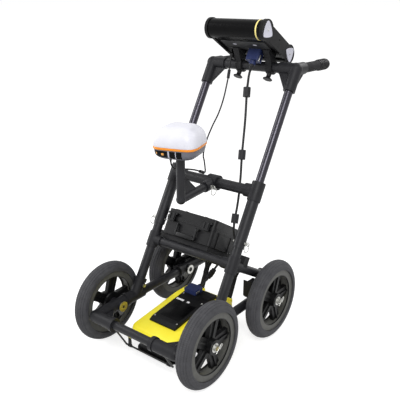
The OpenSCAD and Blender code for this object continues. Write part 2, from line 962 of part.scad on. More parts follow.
module odometer_roller()
    color(steel) placed()
        translate([0, odo_axis[0], odo_axis[1]])
            along_x() {
                rod(2 * odo_shaft_r, odo_x + odo_w - odo_shaft_len + side_gap, hub_in_x + hub_flange_t);
                rod(2 * odo_roller_r, hub_in_x, hub_in_x + hub_flange_t);
            }

// Battery case, its frame at the middle of its foot

case_front = -8;
case_r = 14;
case_rim_h = 7;
case_rim_out = 3;
case_rib_w = 10;
case_rib_out = 2.5;
knuckle_r = 4.5;
knuckle_len = 16;
knuckle_gap = 0.4;
hinge_pin_r = 2;
hinge_y = case_d / 2 + case_rim_out + knuckle_r + knuckle_gap;
hinge_z = case_body_h + seat_gap / 2;
hinge_x_share = 0.3;
latch_x_share = 0.36;
latch_w = 32;
latch_t = 6;
latch_ear_t = 5;
latch_above = 16;
latch_below = 30;
latch_pin_r = 2;
latch_eye_r = 4;
latch_y = case_d / 2 + case_rim_out + latch_eye_r + knuckle_gap;
carry_half = 46;
carry_d = 9;
carry_drop = 40;
carry_ear_t = 6;
carry_pin_r = 2;
carry_below = 20;
carry_z = case_body_h - carry_below;
carry_y = case_d / 2 + case_rim_out + carry_d / 2 + knuckle_gap;
case_top_panel = 3;

module case_frame()
    lean_at(shelf_s)
        translate([-case_left, case_front + case_d / 2, tray_z + tray_h + seat_gap])
            children();

module case_shell(h, floor_t)
    difference() {
        round_box([case_w, case_d, h], case_r);
        translate([0, 0, floor_t])
            round_box([case_w - 2 * case_wall, case_d - 2 * case_wall, h], case_r - case_wall);
    }

module case_rim(z)
    translate([0, 0, z])
        difference() {
            round_box([case_w + 2 * case_rim_out, case_d + 2 * case_rim_out, case_rim_h],
                      case_r + case_rim_out);
            translate([0, 0, -cut])
                round_box([case_w - case_wall, case_d - case_wall, case_rim_h + 2 * cut], case_r);
        }

// A knuckle with its web to the wall; up is 1 on the lid
module knuckle(x, up) {
    translate([x, hinge_y, hinge_z])
        along_x() rod(2 * knuckle_r, -knuckle_len / 2, knuckle_len / 2);
    web_z = up > 0 ? seat_gap : -knuckle_r;
    translate([x - knuckle_len / 2, case_d / 2 - case_wall / 2, hinge_z + web_z])
        cube([knuckle_len, hinge_y - case_d / 2 + case_wall / 2, knuckle_r - seat_gap]);
}

module hinge_places()
    for (side = [-1, 1])
        translate([side * hinge_x_share * case_w, 0, 0])
            children();

module case_body()
    color(black_plastic) placed() case_frame() {
        case_shell(case_body_h, case_wall);
        case_rim(case_body_h - case_rim_h);
        for (face = [-1, 1], side = [-1, 1])
            translate([face * case_w / 2 - case_rib_out, side * case_d / 4 - case_rib_w / 2, 0])
                cube([2 * case_rib_out, case_rib_w, case_body_h - case_rim_h]);
        hinge_places() {
            for (end = [-1, 1])
                knuckle(end * (knuckle_len + knuckle_gap), -1);
            translate([0, hinge_y, hinge_z])
                along_x() rod(2 * hinge_pin_r, -knuckle_len, knuckle_len);
        }
        carry_ears();
    }

// Ears and pins for the carrying handle's eyes
module carry_ears()
    both_sides()
        translate([carry_half, -carry_y, carry_z]) {
            translate([carry_d / 2 + knuckle_gap, -carry_d / 2, -carry_d / 2])
                cube([carry_ear_t, carry_y + carry_d / 2 - case_d / 2 + case_wall / 2, carry_d]);
            along_x() rod(2 * carry_pin_r, -carry_d / 2, carry_d / 2 + carry_ear_t);
        }

module case_lid()
    color(black_plastic) placed() case_frame() {
        difference() {
            union() {
                translate([0, 0, case_body_h + seat_gap + case_lid_h])
                    mirror([0, 0, 1])
                        case_shell(case_lid_h, case_wall);
                case_rim(case_body_h + seat_gap);
                translate([0, 0, case_body_h + seat_gap + case_lid_h - cut])
                    round_box([case_w - 2 * case_r, case_d - 2 * case_r, case_top_panel + cut], case_r);
                hinge_places()
                    knuckle(0, 1);
                latch_ears();
            }
            hinge_places()
                translate([0, hinge_y, hinge_z])
                    along_x() rod(2 * (hinge_pin_r + run_gap), -knuckle_len, knuckle_len);
        }
        latch_places()
            translate([0, -latch_y, latch_z])
                along_x() rod(2 * latch_pin_r, -latch_w / 2 - latch_ear_t, latch_w / 2 + latch_ear_t);
    }

latch_z = case_body_h + seat_gap + latch_above;
latch_hook_top = latch_z - case_body_h + case_rim_h + side_gap;

module latch_places()
    for (side = [-1, 1])
        translate([side * latch_x_share * case_w, 0, 0])
            children();

module latch_ears()
    latch_places()
        for (side = [-1, 1])
            translate([side * (latch_w / 2 + knuckle_gap + latch_ear_t / 2), 0, latch_z])
                translate([-latch_ear_t / 2, -latch_y - latch_eye_r, -latch_eye_r])
                    cube([latch_ear_t, latch_y + latch_eye_r - case_d / 2 + case_wall / 2,
                          2 * latch_eye_r]);

module case_latch(side)
    color(black_plastic) placed() case_frame()
        translate([side * latch_x_share * case_w, -latch_y, latch_z])
            difference() {
                union() {
                    along_x() rod(2 * latch_eye_r, -latch_w / 2, latch_w / 2);
                    translate([-latch_w / 2, -latch_eye_r, -latch_below])
                        cube([latch_w, latch_t, latch_below]);
                    translate([-latch_w / 2, -latch_eye_r - latch_t / 2, -latch_below])
                        cube([latch_w, latch_t, latch_t]);
                    translate([-latch_w / 2, 0, -latch_below])
                        cube([latch_w, latch_y - case_d / 2 - 2 * side_gap,
                              latch_below - latch_hook_top]);
                }
                along_x() rod(2 * (latch_pin_r + run_gap), -latch_w, latch_w);
            }

module case_latch_left() case_latch(-1);

module case_latch_right() case_latch(1);

module case_handle()
    color(black_plastic) placed() case_frame()
        translate([0, -carry_y, carry_z])
            difference() {
                union() {
                    for (side = [-1, 1])
                        translate([side * carry_half, 0, 0]) {
                            rod(carry_d, -carry_drop, 0);
                            along_x() rod(carry_d, -carry_d / 2, carry_d / 2);
                            translate([0, 0, -carry_drop])
                                sphere(d = carry_d);
                        }
                    translate([0, 0, -carry_drop])
                        along_x() rod(carry_d, -carry_half, carry_half);
                }
                for (side = [-1, 1])
                    translate([side * carry_half, 0, 0])
                        along_x() rod(2 * (carry_pin_r + run_gap), -carry_d, carry_d);
            }

pack_gap = 2;
pack_terminal_r = 7;
pack_terminal_h = 8;

module battery_pack()
    color([0.3, 0.3, 0.32]) placed() case_frame()
        translate([0, 0, case_wall + seat_gap]) {
            inner_w = case_w - 2 * case_wall - 2 * pack_gap;
            inner_d = case_d - 2 * case_wall - 2 * pack_gap;
            pack_h = case_body_h - case_wall;
            round_box([inner_w, inner_d, pack_h], case_r - case_wall);
            for (side = [-1, 1])
                translate([side * inner_w / 4, inner_d / 4, 0])
                    rod(2 * pack_terminal_r, pack_h - cut, pack_h + pack_terminal_h);
        }

// Satellite receiver on an arm ahead of the middle crossbar

clamp_od = 58;
clamp_half = 22;
arm_socket_od = 42;
arm_socket_len = 62;
arm_start = mid_bar_od / 2 + 3 * tube_wall;
arm_angle = atan2(arm_reach, -arm_drop);
arm_len = norm([arm_reach, arm_drop]);
arm_pin_at = 46;
arm_y = tee_y - arm_reach;
arm_z = tee_z - arm_drop;
arm_web_t = 9;
arm_elbow_od = arm_od + 2 * tube_wall;
arm_web_shares = [0.5, 0.62];
mast_len = gps_z - arm_z;

// The frame of the arm: Z runs out along it
module arm_frame()
    translate([0, tee_y, tee_z])
        rotate([arm_angle, 0, 0])
            children();

module gps_clamp()
    color(black_plastic) placed()
        difference() {
            union() {
                translate([0, tee_y, tee_z])
                    along_x() rod(clamp_od, -clamp_half, clamp_half);
                arm_frame()
                    rod(arm_socket_od, 0, arm_socket_len);
            }
            translate([0, tee_y, tee_z])
                along_x() rod(mid_bar_od + 2 * fit_gap, -clamp_half - cut, clamp_half + cut);
            arm_frame() {
                rod(arm_od + 2 * fit_gap, arm_start, arm_socket_len + cut);
                translate([0, 0, arm_pin_at])
                    along_x() rod(2 * pin_hole_r, -arm_socket_od, arm_socket_od);
            }
        }

module gps_arm()
    color(black_plastic) placed()
        difference() {
            union() {
                arm_frame()
                    rod(arm_od, arm_start + fit_gap, arm_len);
                translate([0, arm_y, arm_z]) {
                    sphere(d = arm_elbow_od);
                    rod(arm_od, 0, mast_len - seat_gap);
                    extrude_x(-arm_web_t / 2, arm_web_t / 2)
                        polygon([
                            [0, 0],
                            [arm_reach * arm_web_shares[0], arm_drop * arm_web_shares[0]],
                            [0, mast_len * arm_web_shares[1]]
                        ]);
                }
            }
            arm_frame()
                translate([0, 0, arm_pin_at])
                    along_x() rod(2 * pin_hole_r, -arm_od, arm_od);
        }

gps_turn = 18;
gps_foot_inset = 20;
gps_skin = 3;
gps_crown_inset = 30;
gps_shoulder_inset = 5;
gps_shoulder_share = 0.55;
gps_slice = 0.5;

module gps_at(z)
    translate([0, arm_y, gps_z + z])
        rotate(gps_turn) children();

module gps_base()
    color([0.45, 0.46, 0.5]) placed() gps_at(0)
        hull() {
            round_box([gps_w - 2 * gps_foot_inset, gps_w - 2 * gps_foot_inset, gps_slice],
                      gps_corner_r - gps_foot_inset / 2, $fn = 32);
            translate([0, 0, gps_base_h / 2])
                round_box([gps_w - 2 * gps_skin, gps_w - 2 * gps_skin, gps_base_h / 2 - fit_gap],
                          gps_corner_r - gps_skin, $fn = 32);
        }

module gps_band()
    color([0.95, 0.55, 0.15]) placed() gps_at(gps_base_h)
        round_box([gps_w, gps_w, gps_band_h - fit_gap], gps_corner_r);

module gps_dome()
    color([0.95, 0.95, 0.97]) placed() gps_at(gps_base_h + gps_band_h)
        hull() {
            round_box([gps_w - gps_skin, gps_w - gps_skin, gps_slice],
                      gps_corner_r - gps_skin / 2, $fn = 32);
            translate([0, 0, gps_dome_h * gps_shoulder_share])
                round_box([gps_w - 2 * gps_shoulder_inset, gps_w - 2 * gps_shoulder_inset, gps_slice],
                          gps_corner_r - gps_shoulder_inset / 2, $fn = 32);
            translate([0, 0, gps_dome_h - gps_slice])
                round_box([gps_w - 2 * gps_crown_inset, gps_w - 2 * gps_crown_inset, gps_slice],
                          gps_corner_r - gps_crown_inset / 2, $fn = 32);
        }

// Display, its frame on the axis of its rear rounded edge

slab_half = 26;
slab_top_wall = 6;
screen_t = 3;
screen_side = 16;
screen_gap = 4;
screen_ledge = 4;
cap_over = 3;
post_r = 4;
board_t = 2;
board_z = -6;
board_side = 20;
button_r = 7;
button_gap = 0.3;
button_h = 8;
button_out = 2.5;
button_x = 92;
gland_x = -84;
gland_b = -45;
gland_d = 13;
gland_len = 18;
button_ahead = 10;
button_y = -display_rear_r - button_ahead;

display_x = 6;

module handle_frame() lean_at(handle_s) translate([mount_x, 0, 0]) children();

module display_frame()
    lean_at(handle_s)
        translate([display_x, display_back, display_up])
            children();

// The display's section, drawn in by a wall
module display_section(in, top_in) {
    translate([-display_d, 0])
        circle(r = display_front_r - in);
    circle(r = display_rear_r - in);
    translate([-display_d, in - slab_half])
        square([display_d, 2 * slab_half - in - top_in]);
}

screen_front = display_front_r + screen_gap - display_d;
screen_rear = -display_rear_r - 5 * screen_gap;
screen_half = display_w / 2 - screen_side;

module screen_slab(in, from, to)
    translate([in - screen_half, screen_front + in, from])
        cube([2 * (screen_half - in), screen_rear - screen_front - 2 * in, to - from]);

module board_posts(h)
    for (x = [-1, 1], y = [screen_front, screen_rear])
        translate([x * (screen_half - board_side), y, display_wall - slab_half - cut])
            cylinder(r = post_r, h = h + cut);

module display_housing()
    color(black_plastic) placed() display_frame()
        difference() {
            union() {
                difference() {
                    extrude_x(-display_w / 2, display_w / 2)
                        display_section(0, 0);
                    extrude_x(-display_w / 2 - cut, display_w / 2 + cut)
                        display_section(display_wall, slab_top_wall);
                }
                board_posts(slab_half - display_wall + board_z - seat_gap);
                translate([gland_x, gland_b - display_back, 0])
                    rod(gland_d, -slab_half - gland_len, cut - slab_half);
            }
            screen_slab(0, slab_half - screen_t, slab_half + cut);
            screen_slab(screen_ledge, 0, slab_half + cut);
            translate([button_x, button_y, 0])
                cylinder(r = button_r + button_gap, h = slab_half + cut);
        }

module display_screen()
    color([0.05, 0.06, 0.08]) placed() display_frame()
        screen_slab(fit_gap, slab_half - screen_t + fit_gap, slab_half);

chip = [40, 30, 6];

module display_board()
    color([0.1, 0.3, 0.15]) placed() display_frame() {
        half = screen_half - board_side / 2;
        front = screen_front - post_r;
        rear = screen_rear + post_r;
        translate([-half, front, board_z])
            cube([2 * half, rear - front, board_t]);
        for (i = [-1, 0, 1])
            translate([i * half / 2 - chip[0] / 2, (front + rear) / 2 - chip[1] / 2, board_z + board_t])
                cube(chip);
    }

module display_button()
    color([0.6, 0.15, 0.12]) placed() display_frame()
        translate([button_x, button_y, slab_half + button_out - button_h])
            cylinder(r = button_r, h = button_h);

module display_end_caps()
    color(black_plastic) placed() display_frame()
        both_sides()
            extrude_x(display_w / 2, display_w / 2 + end_cap_t)
                display_section(-cap_over, -cap_over);

plate_t = 2;
plate_shares = [[-0.62, -0.48], [0.62, -0.48], [0.46, 0.62], [-0.46, 0.62]];

// Pale plates screwed on the ends
module display_corner_plates()
    color([0.86, 0.86, 0.9]) placed() display_frame()
        both_sides()
            extrude_x(display_w / 2 + end_cap_t, display_w / 2 + end_cap_t + plate_t) {
                translate([-display_d, 0])
                    polygon(display_front_r * plate_shares);
                rotate(180)
                    polygon(display_rear_r * plate_shares);
            }

ring_r = handle_od / 2 + 8;
foot_w = 34;
mount_share = 0.425;
mount_x = mount_share * (frame_half - handle_bar_sleeve - clamp_x - foot_w / 2);
foot_t = 6;
foot_z = display_up - slab_half - fit_gap;
foot_front = 72;
foot_rear = 20;
knob_boss_r = 9;
knob_boss_end = 38;
knob_screw_r = 4;
knob_screw_tip = handle_od / 2 + 3;
knob_r = 15;
knob_t = 13;
knob_lobes = 7;
knob_lobe_r = 5;
knob_lobe_share = 0.93;
knob_turn_share = 0.3;

module clamp_sides()
    for (side = [-1, 1])
        translate([side * clamp_x, 0, 0])
            children();

module display_bracket()
    color(black_plastic) placed() handle_frame()
        clamp_sides()
            difference() {
                union() {
                    along_x() rod(2 * ring_r, -clamp_w / 2, clamp_w / 2);
                    rod(2 * knob_boss_r, -knob_boss_end, 0);
                    extrude_x(-clamp_w / 2, clamp_w / 2)
                        polygon([
                            [-ring_r, 0],
                            [-foot_front, foot_z - foot_t],
                            [-foot_front, foot_z],
                            [-foot_rear, foot_z],
                            [0, ring_r]
                        ]);
                    translate([-foot_w / 2, -foot_front, foot_z - foot_t])
                        cube([foot_w, foot_front - foot_rear, foot_t]);
                }
                along_x() rod(handle_od + 2 * run_gap, -clamp_w, clamp_w);
                rod(2 * (knob_screw_r + run_gap), -knob_boss_end - cut, 0);
            }

module display_knob(side)
    color(black_plastic) placed() handle_frame()
        translate([side * clamp_x, 0, 0]) {
            rod(2 * knob_screw_r, -knob_boss_end - knob_t, -knob_screw_tip);
            translate([0, 0, -knob_boss_end - seat_gap - knob_t])
                linear_extrude(knob_t) {
                    circle(knob_r);
                    for (i = [0:knob_lobes - 1])
                        rotate((i + knob_turn_share) * 360 / knob_lobes)
                            translate([knob_r * knob_lobe_share, 0])
                                circle(knob_lobe_r);
                }
        }

module display_knob_left() display_knob(-1);

module display_knob_right() display_knob(1);

plug = [56, 34, 44];
plug_x = 16;
plug_y = -53;
plug_r = 6;
plug_neck_d = 24;
plug_neck_len = 14;

module display_connector()
    color(navy) placed() handle_frame()
        translate([plug_x, plug_y, foot_z - plug[2]]) {
            round_box(plug, plug_r);
            rod(plug_neck_d, -plug_neck_len, 0);
        }

// Sensor: a shell on a tub, slung between the wheels

apron_y = 30;
apron_rise = 9;
crown_front_y = 40;
crown_rear_y = 112;
sensor_corner_r = 30;
tub_half = 86;
tub_inset = 20;
tub_flange_t = 4;
tub_flange_in = sensor_wall / 2;
tub_wall = 4;
sensor_front = front_reach - sensor_back;
sensor_len = sensor_front + sensor_rear;
sensor_mid_y = (sensor_rear - sensor_front) / 2;

// The shell's side section, drawn in by a wall
module shell_section(in)
    polygon([
        [in - sensor_front, sensor_rim_z - (in > 0 ? cut : 0)],
        [in - sensor_front, sensor_front_z - in],
        [apron_y - sensor_front, sensor_front_z + apron_rise - in],
        [crown_front_y, sensor_top_z - in],
        [crown_rear_y, sensor_top_z - in],
        [sensor_rear - in, sensor_lug_z - in],
        [sensor_rear - in, sensor_rim_z - (in > 0 ? cut : 0)]
    ]);

module shell_solid(in)
    intersection() {
        extrude_x(in - sensor_half, sensor_half - in)
            shell_section(in);
        translate([0, sensor_mid_y, 0])
            round_box([2 * (sensor_half - in), sensor_len - 2 * in, 2 * sensor_top_z],
                      sensor_corner_r - in);
    }

module sensor_shell()
    color(safety_yellow) placed() {
        difference() {
            shell_solid(0);
            shell_solid(sensor_wall);
        }
        for (x = strap_xs)
            translate([x - strap_lug[0] / 2, strap_lug_y - strap_lug[1] / 2, sensor_lug_z])
                cube([strap_lug[0], strap_lug[1], 2 * strap_lug[2]]);
        for (side = [-1, 1])
            translate([side * tab_x - tab_lug[0] / 2, -sensor_front - tab_lug[1], tab_lug_z])
                cube([tab_lug[0], tab_lug[1] + sensor_wall / 2 + sensor_corner_r / 2, tab_lug[2]]);
    }

skid_over = 10;
skid_r = 24;
tub_top_z = sensor_rim_z - seat_gap;
tub_len = sensor_len - 2 * tub_inset;

// The tub's plan, drawn in by a wall
module tub(in, h)
    round_box([2 * (tub_half - in), tub_len - 2 * in, h], skid_r - in);

module sensor_skid()
    color(black_plastic) placed()
        translate([0, sensor_mid_y, 0])
            difference() {
                union() {
                    translate([0, 0, skid_z])
                        tub(-skid_over, skid_t);
                    translate([0, 0, skid_z])
                        tub(0, tub_top_z - skid_z);
                    translate([0, 0, tub_top_z - tub_flange_t])
                        round_box([2 * (sensor_half - tub_flange_in), sensor_len - 2 * tub_flange_in,
                                   tub_flange_t], sensor_corner_r - tub_flange_in);
                }
                translate([0, 0, skid_z + skid_t])
                    tub(tub_wall, sensor_top_z);
            }

antenna_in = 24;
antenna_step = 5;
antenna = [140, tub_len - 2 * antenna_in, 34];
antenna_board = [antenna[0] + 2 * antenna_step, antenna[1] + 4 * antenna_step, 2];
antenna_can = [60, 100, 30];

module sensor_antenna()
    color([0.5, 0.52, 0.5]) placed()
        translate([0, sensor_mid_y, skid_z + skid_t + seat_gap]) {
            translate([-antenna[0] / 2, -antenna[1] / 2, 0])
                cube(antenna);
            translate([-antenna_board[0] / 2, -antenna_board[1] / 2, antenna[2] - cut])
                cube(antenna_board);
            for (side = [-1, 1])
                translate([-antenna_can[0] / 2, side * antenna[1] / 4 - antenna_can[1] / 2, antenna[2]])
                    cube(antenna_can);
        }

module_in = 63;
module_front = sensor_front - module_in;
module_rear = 92;
module_nose = 16;
module_slope = (sensor_top_z - sensor_front_z - apron_rise) / (crown_front_y + sensor_front - apron_y);
module_front_z = sensor_top_z - (crown_front_y + module_front) * module_slope;

module sensor_module()
    color(black_plastic) placed()
        extrude_x(-module_half, module_half)
            polygon([
                [-module_front, module_front_z + seat_gap],
                [crown_front_y, sensor_top_z + seat_gap],
                [module_rear, sensor_top_z + seat_gap],
                [module_rear, sensor_top_z + module_h],
                [crown_front_y, sensor_top_z + module_h],
                [module_nose - module_front, module_front_z + module_h + module_nose * module_slope],
                [-module_front, module_front_z + module_h / 2]
            ]);

socket = [58, 50, 18];
socket_x = -30;
socket_y = 60;
socket_r = 5;
socket_neck_d = 14;
socket_neck_len = 12;
socket_z = sensor_top_z + module_h + seat_gap;

module sensor_connector()
    color(navy) placed()
        translate([socket_x, socket_y, socket_z]) {
            round_box(socket, socket_r);
            translate([0, socket[1] / 2, socket[2] / 2])
                along_y() rod(socket_neck_d, 0, socket_neck_len);
        }

// Cables

function lean_point(x, s, back) = [
    x,
    s * sin(lean) + back * cos(lean) - foot_forward,
    axle_z + s * cos(lean) - back * sin(lean)
];

// A smooth curve through points, t counting the points
function curve_at(p, t) =
    let (last = len(p) - 1,
         i = min(floor(t), last - 1),
         u = t - i,
         a = p[max(i - 1, 0)],
         b = p[i],
         c = p[i + 1],
         d = p[min(i + 2, last)])
    (2 * b + (c - a) * u + (2 * a - 5 * b + 4 * c - d) * u * u + (3 * b - a - 3 * c + d) * u * u * u) / 2;

function unit(v) = v / norm(v);

function ring_points(at, run, across, r, sides) =
    let (e = unit(cross(run, across)), f = unit(cross(run, e)))
    [for (k = [0:sides - 1]) at + r * (cos(k * 360 / sides) * e + sin(k * 360 / sides) * f)];

// A round cord along the curve; it never runs along across
module cord(route, d, count, sides, across) {
    last = len(route) - 1;
    at = [for (i = [0:count]) curve_at(route, i * last / count)];
    run = [for (i = [0:count]) at[min(i + 1, count)] - at[max(i - 1, 0)]];
    points = [for (i = [0:count]) each ring_points(at[i], run[i], across, d / 2, sides)];
    faces = [
        [for (k = [0:sides - 1]) k],
        for (i = [0:count - 1], k = [0:sides - 1])
            each [
                [i * sides + k, (i + 1) * sides + k, i * sides + (k + 1) % sides],
                [i * sides + (k + 1) % sides, (i + 1) * sides + k, (i + 1) * sides + (k + 1) % sides]
            ],
        [for (k = [0:sides - 1]) count * sides + sides - 1 - k]
    ];
    polyhedron(points, faces);
}

// Turns Z to a direction
module point_along(v)
    rotate([0, acos(v[2] / norm(v)), atan2(v[1], v[0])])
        children();

module bead(route, i, od, bore, length)
    translate(route[i])
        point_along(route[i + 1] - route[i - 1])
            tube(od, (od - bore) / 2, -length / 2, length / 2);

main_sides = 10;
main_rings = 40;
lower_rings = 8;
gps_sides = 8;
gps_rings = 52;
plug_end = foot_z - plug[2] - plug_neck_len - end_gap;
joint_d = 20;
joint_len = 44;
joint_from_bar = [-8, -38, -47];
joint_at = [joint_from_bar[0], shelf_rear_y + joint_from_bar[1], shelf_rear_z + joint_from_bar[2]];
joint_run = [0.45, 0.3, 0.84];
joint_half = unit(joint_run) * (joint_len / 2 + end_gap);

// Hand-chosen points: across, up the leg, back from it
main_from_handle = [
    [33, -36, -53], [34, -62, -51], [36.5, -92, -44.5], [39, -122, -37], [59, -223, -19], [80, -353, 3]
];
main_from_shelf = [
    [94, 320, 21], [106, 238, 35], [113.5, 168, 42.5], [116.5, 134, 50], [115.5, 107, 74],
    [109, 87, 104], [102, 66, 128.5], [93.5, 45.5, 148.5], [82.5, 27, 163], [66.5, 12, 171.5],
    [47.5, 1.5, 176.5], [28.5, -6.5, 179]
];
gps_from_handle = [
    [-78, 4, -44], [-79, -14, -38.5], [-80.5, -32, -29.5], [-82, -51, -20.5], [-83, -72, -13.5],
    [-82.5, -100, -8.5], [-80, -135, -6], [-76, -175, -8.5], [-74, -220, -14], [-77, -265, -20],
    [-81, -315, -21], [-82, -356, -18.5], [-76, -390, -17]
];

// Across, back and up from the joint or the mast
lower_from_joint = [[-21.5, -39, -41], [-20, -28.5, -38.5], [-17.5, -18.5, -33.5], [-13.5, -10, -27]];
gps_from_mast = [
    [-62.5, 214.5, 67.5], [-49.5, 202.5, 48.5], [-36, 187, 38], [-26.5, 167, 39], [-20.5, 145.5, 48],
    [-17, 121.5, 58.5], [-16, 94.5, 69], [-19, 65.5, 77.5], [-24, 34.5, 84.5], [-28.5, 8, 92],
    [-29, -11, 103.5]
];
gps_port = [-29, -19];
gps_port_drop = 21.5;

function from_leg(list, s) = [for (p = list) lean_point(p[0], s + p[1], p[2])];

function from_point(list, at) = [for (p = list) at + p];

main_route = concat(
    [lean_point(mount_x + plug_x, handle_s + plug_end, plug_y)],
    from_leg(main_from_handle, handle_s),
    from_leg(main_from_shelf, shelf_s),
    [joint_at + 2 * joint_half, joint_at + joint_half]
);

lower_route = concat(
    [[socket_x, socket_y + socket[1] / 2 + socket_neck_len + end_gap, socket_z + socket[2] / 2]],
    from_point(lower_from_joint, joint_at),
    [joint_at - joint_half]
);

gps_route = concat(
    [lean_point(display_x + gland_x, handle_s + display_up - slab_half - gland_len - end_gap, gland_b)],
    from_leg(gps_from_handle, handle_s),
    from_point(gps_from_mast, [0, arm_y, tee_z]),
    [for (z = [gps_port_drop, end_gap]) [gps_port[0], arm_y + gps_port[1], gps_z - z]]
);

module main_cable_upper()
    color(black_plastic) placed()
        cord(main_route, main_cable_d, main_rings, main_sides, [0, 1, 0]);

module main_cable_lower()
    color(black_plastic) placed()
        cord(lower_route, main_cable_d, lower_rings, main_sides, [1, 0, 0]);

module gps_cable()
    color(black_plastic) placed()
        cord(gps_route, gps_cable_d, gps_rings, gps_sides, [1, 0, 0]);

ferrite_od = 28;
ferrite_len = 36;
ferrite_at = [4, 6, 9];
bead_gap = 1.5;
inline_od = 12;
inline_len = 34;
inline_at = [4, 18];

module cable_ferrites()
    color(black_plastic) placed() {
        for (i = ferrite_at)
            bead(main_route, i, ferrite_od, main_cable_d + 2 * bead_gap, ferrite_len);
        for (i = inline_at)
            bead(gps_route, i, inline_od, gps_cable_d + 2 * bead_gap, inline_len);
        translate(joint_at)
            point_along(joint_run)
                rod(joint_d, -joint_len / 2, joint_len / 2);
    }

side_tubes();
cross_tubes();
shelf_rails();
leg_tubes();
upper_tubes();
mid_crossbar();
frame_corners();
leg_fittings();
tee_fittings();
frame_fasteners();
front_bail();
handle_corners();
handle_tubes();
grips();
grip_caps();
axles();
axle_clips();
wheel_bearings();
front_left_tyre();
front_right_tyre();
rear_left_tyre();
rear_right_tyre();
front_left_wheel();
front_right_wheel();
rear_left_wheel();
rear_right_wheel();
shelf_tray();
sling_straps();
odometer_housing();
odometer_roller();
case_body();
case_lid();
case_latch_left();
case_latch_right();
case_handle();
battery_pack();
gps_clamp();
gps_arm();
gps_base();
gps_band();
gps_dome();
display_housing();
display_screen();
display_board();
display_end_caps();
display_corner_plates();
display_bracket();
display_knob_left();
display_knob_right();
display_connector();
display_button();
sensor_shell();
sensor_skid();
sensor_module();
sensor_connector();
sensor_antenna();
main_cable_upper();
main_cable_lower();
gps_cable();
cable_ferrites();
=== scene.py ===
from math import acos, atan, cos, degrees, radians, sin, tau

import bmesh
import bpy
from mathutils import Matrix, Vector


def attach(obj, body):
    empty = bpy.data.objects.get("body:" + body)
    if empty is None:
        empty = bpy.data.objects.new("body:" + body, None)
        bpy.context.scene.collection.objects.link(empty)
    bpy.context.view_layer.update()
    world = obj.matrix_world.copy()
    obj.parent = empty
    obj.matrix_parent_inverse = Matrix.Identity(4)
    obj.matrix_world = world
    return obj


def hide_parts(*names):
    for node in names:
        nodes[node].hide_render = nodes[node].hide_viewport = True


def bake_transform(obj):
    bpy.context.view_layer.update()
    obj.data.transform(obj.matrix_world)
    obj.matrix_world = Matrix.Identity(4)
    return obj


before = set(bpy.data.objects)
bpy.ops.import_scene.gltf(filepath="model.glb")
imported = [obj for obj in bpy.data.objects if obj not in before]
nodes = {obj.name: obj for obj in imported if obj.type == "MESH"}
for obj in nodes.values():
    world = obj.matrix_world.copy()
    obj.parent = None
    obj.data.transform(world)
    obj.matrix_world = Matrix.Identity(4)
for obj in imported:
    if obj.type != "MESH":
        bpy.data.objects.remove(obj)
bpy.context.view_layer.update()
scene = bpy.context.scene
scene.view_settings.view_transform = "Standard"

# The cart's own frame, in millimetres; names that end in _s are distances up the leg

lean = radians(30.4)
sin_l, cos_l = sin(lean), cos(lean)
row_y = 134.7277
foot_forward = 107.0
shelf_s, handle_s = 231.0, 987.0
wheel_x, axle_y, axle_z = 245.0, 200.0, 156.0
arm_y, tee_z, gps_z = -45.4, 595.0, 740.0
gps_turn = radians(18)
shelf_rear = (185.0, 252.5)
shell_front, shell_rear = -226.0, 152.0
strap_xs, tab_x = (92, -45), 96
plug_x, gland_x, socket_x = 16, -78, -30
both_sides = (("left", -1), ("right", 1))


def row(p):
    """A point of the cart in the frame that the tools share, in metres."""
    return Vector((p[0] / 1000, (p[1] - row_y) / 1000, p[2] / 1000))


def cart(x, y, z):
    return Vector((x, y, z))


def lean_point(x, s, back):
    """A point beside the leaning legs: across, up the leg, and back from it."""
    return Vector((x, s * sin_l + back * cos_l - foot_forward, axle_z + s * cos_l - back * sin_l))


def in_frame(origin):
    """Points in a frame that leans with the handle: across, back, up the leg."""
    return lambda x, y, z: origin + Vector((x, y * cos_l + z * sin_l, z * cos_l - y * sin_l))


def moved(base, x, y, z):
    """A frame with its origin at that point of another one."""
    return lambda a, b, c: base(x + a, y + b, z + c)


disp = in_frame(lean_point(6, handle_s + 66, 18))
hand = in_frame(lean_point(17, handle_s, 0))
case = in_frame(lean_point(-42, 268.6, 82))


def new_object(name, data):
    obj = bpy.data.objects.new(name, data)
    scene.collection.objects.link(obj)
    return obj


def rgb(r, g, b):
    """Colour values as seen on a screen, 0 to 255, to the linear ones that shaders take."""
    def one(v):
        v /= 255
        return v / 12.92 if v <= 0.04045 else ((v + 0.055) / 1.055) ** 2.4
    return (one(r), one(g), one(b), 1.0)


# Materials

